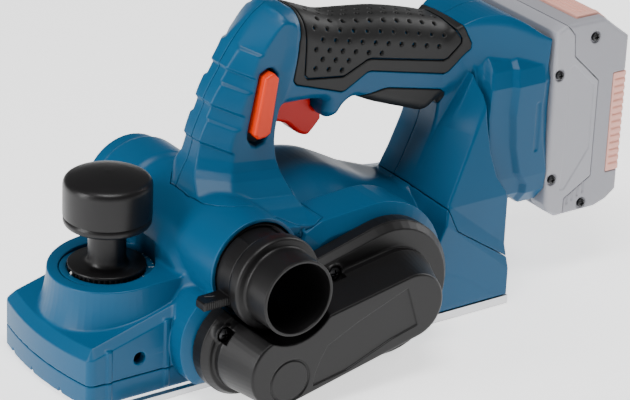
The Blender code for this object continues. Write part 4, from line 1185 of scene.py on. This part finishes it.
def pack_shells():
    """The front shell with its rail slots, and the back shell with its seats for strips and button."""
    whole = Solid((PLATE_X - 1, -PACK_HALF - 1.5, PACK_BOTTOM - 1.5),
                  (PACK_REAR + 1.5, PACK_HALF + 1.5, PACK_TOP + 1.5))
    whole.add(prism(PACK_SIDE, -PACK_HALF, PACK_HALF, 2.2))
    for low, high in both_sides(PACK_HALF - 1.1, PACK_HALF + 3):
        for x, z in PACK_SCREWS:
            whole.cut(cylinder((x, 0, z), "Y", 3.3, low, high), 0.4)
    back_region = [(119.2, 30)] + PACK_SEAM + [(111, 160), (170, 160), (170, 30)]
    back_side = prism(back_region, -60, 60)[2]
    front, back = whole.copy(whole.low, whole.low + whole.count * whole.pitch), whole
    front.keep(lambda x, y, z: PACK_GAP - back_side(x, y, z))
    back.keep(lambda x, y, z: back_side(x, y, z) + PACK_GAP)
    hollow = (113.2, -34.5, 41), (151.3, 34.5, 140.5)
    front.cut(block(*hollow))
    front.cut(block((PLATE_X - 1, -12, 30), (112, 12, 100)))
    for rail_half, low_x, high_x in ((24.4, PLATE_X - 1, 109), (27.4, 107.6, 110.8)):
        for low, high in both_sides(17.6, rail_half):
            front.cut(block((low_x, low, 30), (high_x, high, 138.4)))
    front.cut(prism(PACK_LABEL, -PACK_HALF - 2, -PACK_HALF + 0.5), 0.3)
    back.cut(block(*hollow))
    back.cut(block((124, -30.4, 139), (146.4, 30.4, 160)), 0.4)
    for deep, low_x in ((1.9, PACK_REAR - 9.3), (6.8, PACK_REAR - 2.1)):
        for low, high in both_sides(PACK_HALF - deep, PACK_HALF + 5):
            back.cut(block((low_x, low, STRIP_LOW - 0.3), (PACK_REAR + 5, high, STRIP_HIGH + 0.3)), 0.4)
    for step in range(4):
        x = 121.5 + 3.6 * step
        back.cut(block((x - 0.6, -PACK_HALF - 2, 43 + 1.6 * step),
                       (x + 0.6, -PACK_HALF + 0.7, 48 + 2.0 * step)), 0.3)
    front.mesh("pack_front_surface", PALE, "battery", ["pack_shell_front"], "pale_grey_plastic")
    back.mesh("pack_back_surface", PALE_DARK, "battery", ["pack_shell_back"], "pale_grey_plastic")


def pack_strips():
    """Ribbed strips around the two rear corners; the right one mirrors the left one."""
    left, thick = -PACK_HALF, 1.8
    strip = Solid((PACK_REAR - 10, left - 1, STRIP_LOW - 1), (PACK_REAR + 1, left + 8, STRIP_HIGH + 1),
                  FINE_PITCH)
    wrap = [(PACK_REAR - 9, left), (PACK_REAR, left), (PACK_REAR, left + 6.5), (PACK_REAR - thick, left + 6.5),
            (PACK_REAR - thick, left + thick), (PACK_REAR - 9, left + thick)]
    strip.add(plan(wrap, STRIP_LOW, STRIP_HIGH, 0.5))
    for step in range(13):
        z = 61 + 4.2 * step
        strip.cut(block((PACK_REAR - 7.6, left - 2, z), (PACK_REAR + 2, left + 0.7, z + 1.5)), 0.3)
    strip.mesh("pack_strip_left_surface", SALMON, "battery", ["pack_strip_left"], "salmon_plastic")
    twin = strip.mesh("pack_strip_right_surface", SALMON, "battery", ["pack_strip_right"], "salmon_plastic")
    twin.data.transform(Matrix.Scale(-1, 4, (0, 1, 0)))
    twin.data.flip_normals()


def release_button():
    crown = [(124.4, 143.4), (124.4, 151.2), (139.4, 151.2), (146, 146), (146, 143.4)]
    button = Solid((123, -31.5, 142), (147.5, 31.5, 153), FINE_PITCH)
    button.add(prism(crown, -30, 30, 0.9))
    for step in range(5):
        button.cut(block((127 + 3 * step, -26, 150.5), (128.2 + 3 * step, 26, 153)), 0.3)
    button.mesh("battery_release_surface", SALMON, "battery_release", ["battery_release"], "salmon_plastic")


# ---------------------------------------------------------------- parts kept from the frame

def finish_frame_parts():
    """Materials for the frame's own parts: sole, shoe, cutter, motor, belt, spring and cells."""
    looks = {
        ALLOY: ["rear_sole", "front_shoe"],
        STEEL: ["drum_body", "blade_clamp", "depth_spindle", "shoe_spring", "armature_shaft", "motor_can",
                "cell_pack", "motor_bearing_left", "motor_bearing_right", "drum_bearing_left",
                "drum_bearing_right", "drum_pulley", "motor_pulley", "clamp_screw_1", "clamp_screw_2",
                "clamp_screw_3", "armature_core"],
        BLADE: ["blade"],
        COPPER: ["commutator", "brush_upper", "brush_lower"],
        RUBBER: ["drive_belt"],
        DARK: ["brush_holder", "cooling_fan", "switch_body", "battery_terminal"],
    }
    for look, names in looks.items():
        for name in names:
            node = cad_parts[name]
            for index in range(len(node.data.materials)):
                node.material_slots[index].material = look


# ---------------------------------------------------------------- studio

FLOOR_GLOW = 1.3
SKY = 0.2
LAMPS = [
    ("left", (-1.2, 0.1, 0.5), (0.3, 0.9), 12),
    ("right", (1.1, 0.1, 0.6), (0.4, 0.9), 8),
    ("top", (-0.3, -0.35, 1.6), (0.8, 0.6), 20),
]
AZIMUTH = math.radians(-35.8)
ELEVATION = math.radians(24.38)
ROLL = math.radians(2.67)
AIM = Vector((-0.0425, -0.0302, 0.0835))
DISTANCE = 1.55


def studio():
    """A plain pale floor, an even sky and three soft lamps."""
    floor = bpy.data.meshes.new("floor")
    half, low = 6, -0.0004
    corners = [(-half, -half, low), (half, -half, low), (half, half, low), (-half, half, low)]
    floor.from_pydata(corners, [], [(0, 1, 2, 3)])
    paper = bpy.data.materials.new("paper")
    paper.use_nodes = True
    shader = paper.node_tree.nodes["Principled BSDF"]
    shader.inputs["Base Color"].default_value = (0.9, 0.9, 0.9, 1)
    shader.inputs["Roughness"].default_value = 0.9
    shader.inputs["Emission Color"].default_value = (1, 1, 1, 1)
    shader.inputs["Emission Strength"].default_value = FLOOR_GLOW
    floor.materials.append(paper)
    ground = bpy.data.objects.new("floor", floor)
    bpy.context.scene.collection.objects.link(ground)
    world = bpy.data.worlds.new("studio")
    bpy.context.scene.world = world
    world.use_nodes = True
    world.node_tree.nodes["Background"].inputs["Color"].default_value = (1, 1, 1, 1)
    world.node_tree.nodes["Background"].inputs["Strength"].default_value = SKY
    for name, spot, size, power in LAMPS:
        light = bpy.data.lights.new(name, "AREA")
        light.shape = "RECTANGLE"
        light.size, light.size_y = size
        light.energy = power
        lamp = bpy.data.objects.new(name, light)
        lamp.location = spot
        lamp.rotation_euler = (Vector((-0.02, 0, 0.08)) - Vector(spot)).to_track_quat("-Z", "Y").to_euler()
        bpy.context.scene.collection.objects.link(lamp)


def camera():
    """A long lens that looks at the left side from the front and above, slightly rolled."""
    back = Vector((math.sin(AZIMUTH) * math.cos(ELEVATION), -math.cos(AZIMUTH) * math.cos(ELEVATION),
                   math.sin(ELEVATION)))
    level = Vector((math.cos(AZIMUTH), math.sin(AZIMUTH), 0))
    upright = back.cross(level)
    place_of_eye = AIM + DISTANCE * back
    right = math.cos(ROLL) * level + math.sin(ROLL) * upright
    up = -math.sin(ROLL) * level + math.cos(ROLL) * upright
    lens = bpy.data.cameras.new("camera")
    lens.sensor_width = 36
    lens.lens = 170.6
    lens.shift_x = -0.0047
    lens.shift_y = -0.0109
    lens.clip_end = 20
    eye = bpy.data.objects.new("camera", lens)
    eye.matrix_world = Matrix((
        (right.x, up.x, back.x, place_of_eye.x),
        (right.y, up.y, back.y, place_of_eye.y),
        (right.z, up.z, back.z, place_of_eye.z),
        (0, 0, 0, 1)))
    bpy.context.scene.collection.objects.link(eye)
    bpy.context.scene.camera = eye


casing_shells()
trigger_and_lock()
electronics()
belt_cover()
knob()
knob_knurl()
chip_tube()
chip_duct()
chip_deflector()
depth_scale()
shoe_skirt()
pack_shells()
pack_strips()
release_button()
screws()
finish_frame_parts()
studio()
camera()
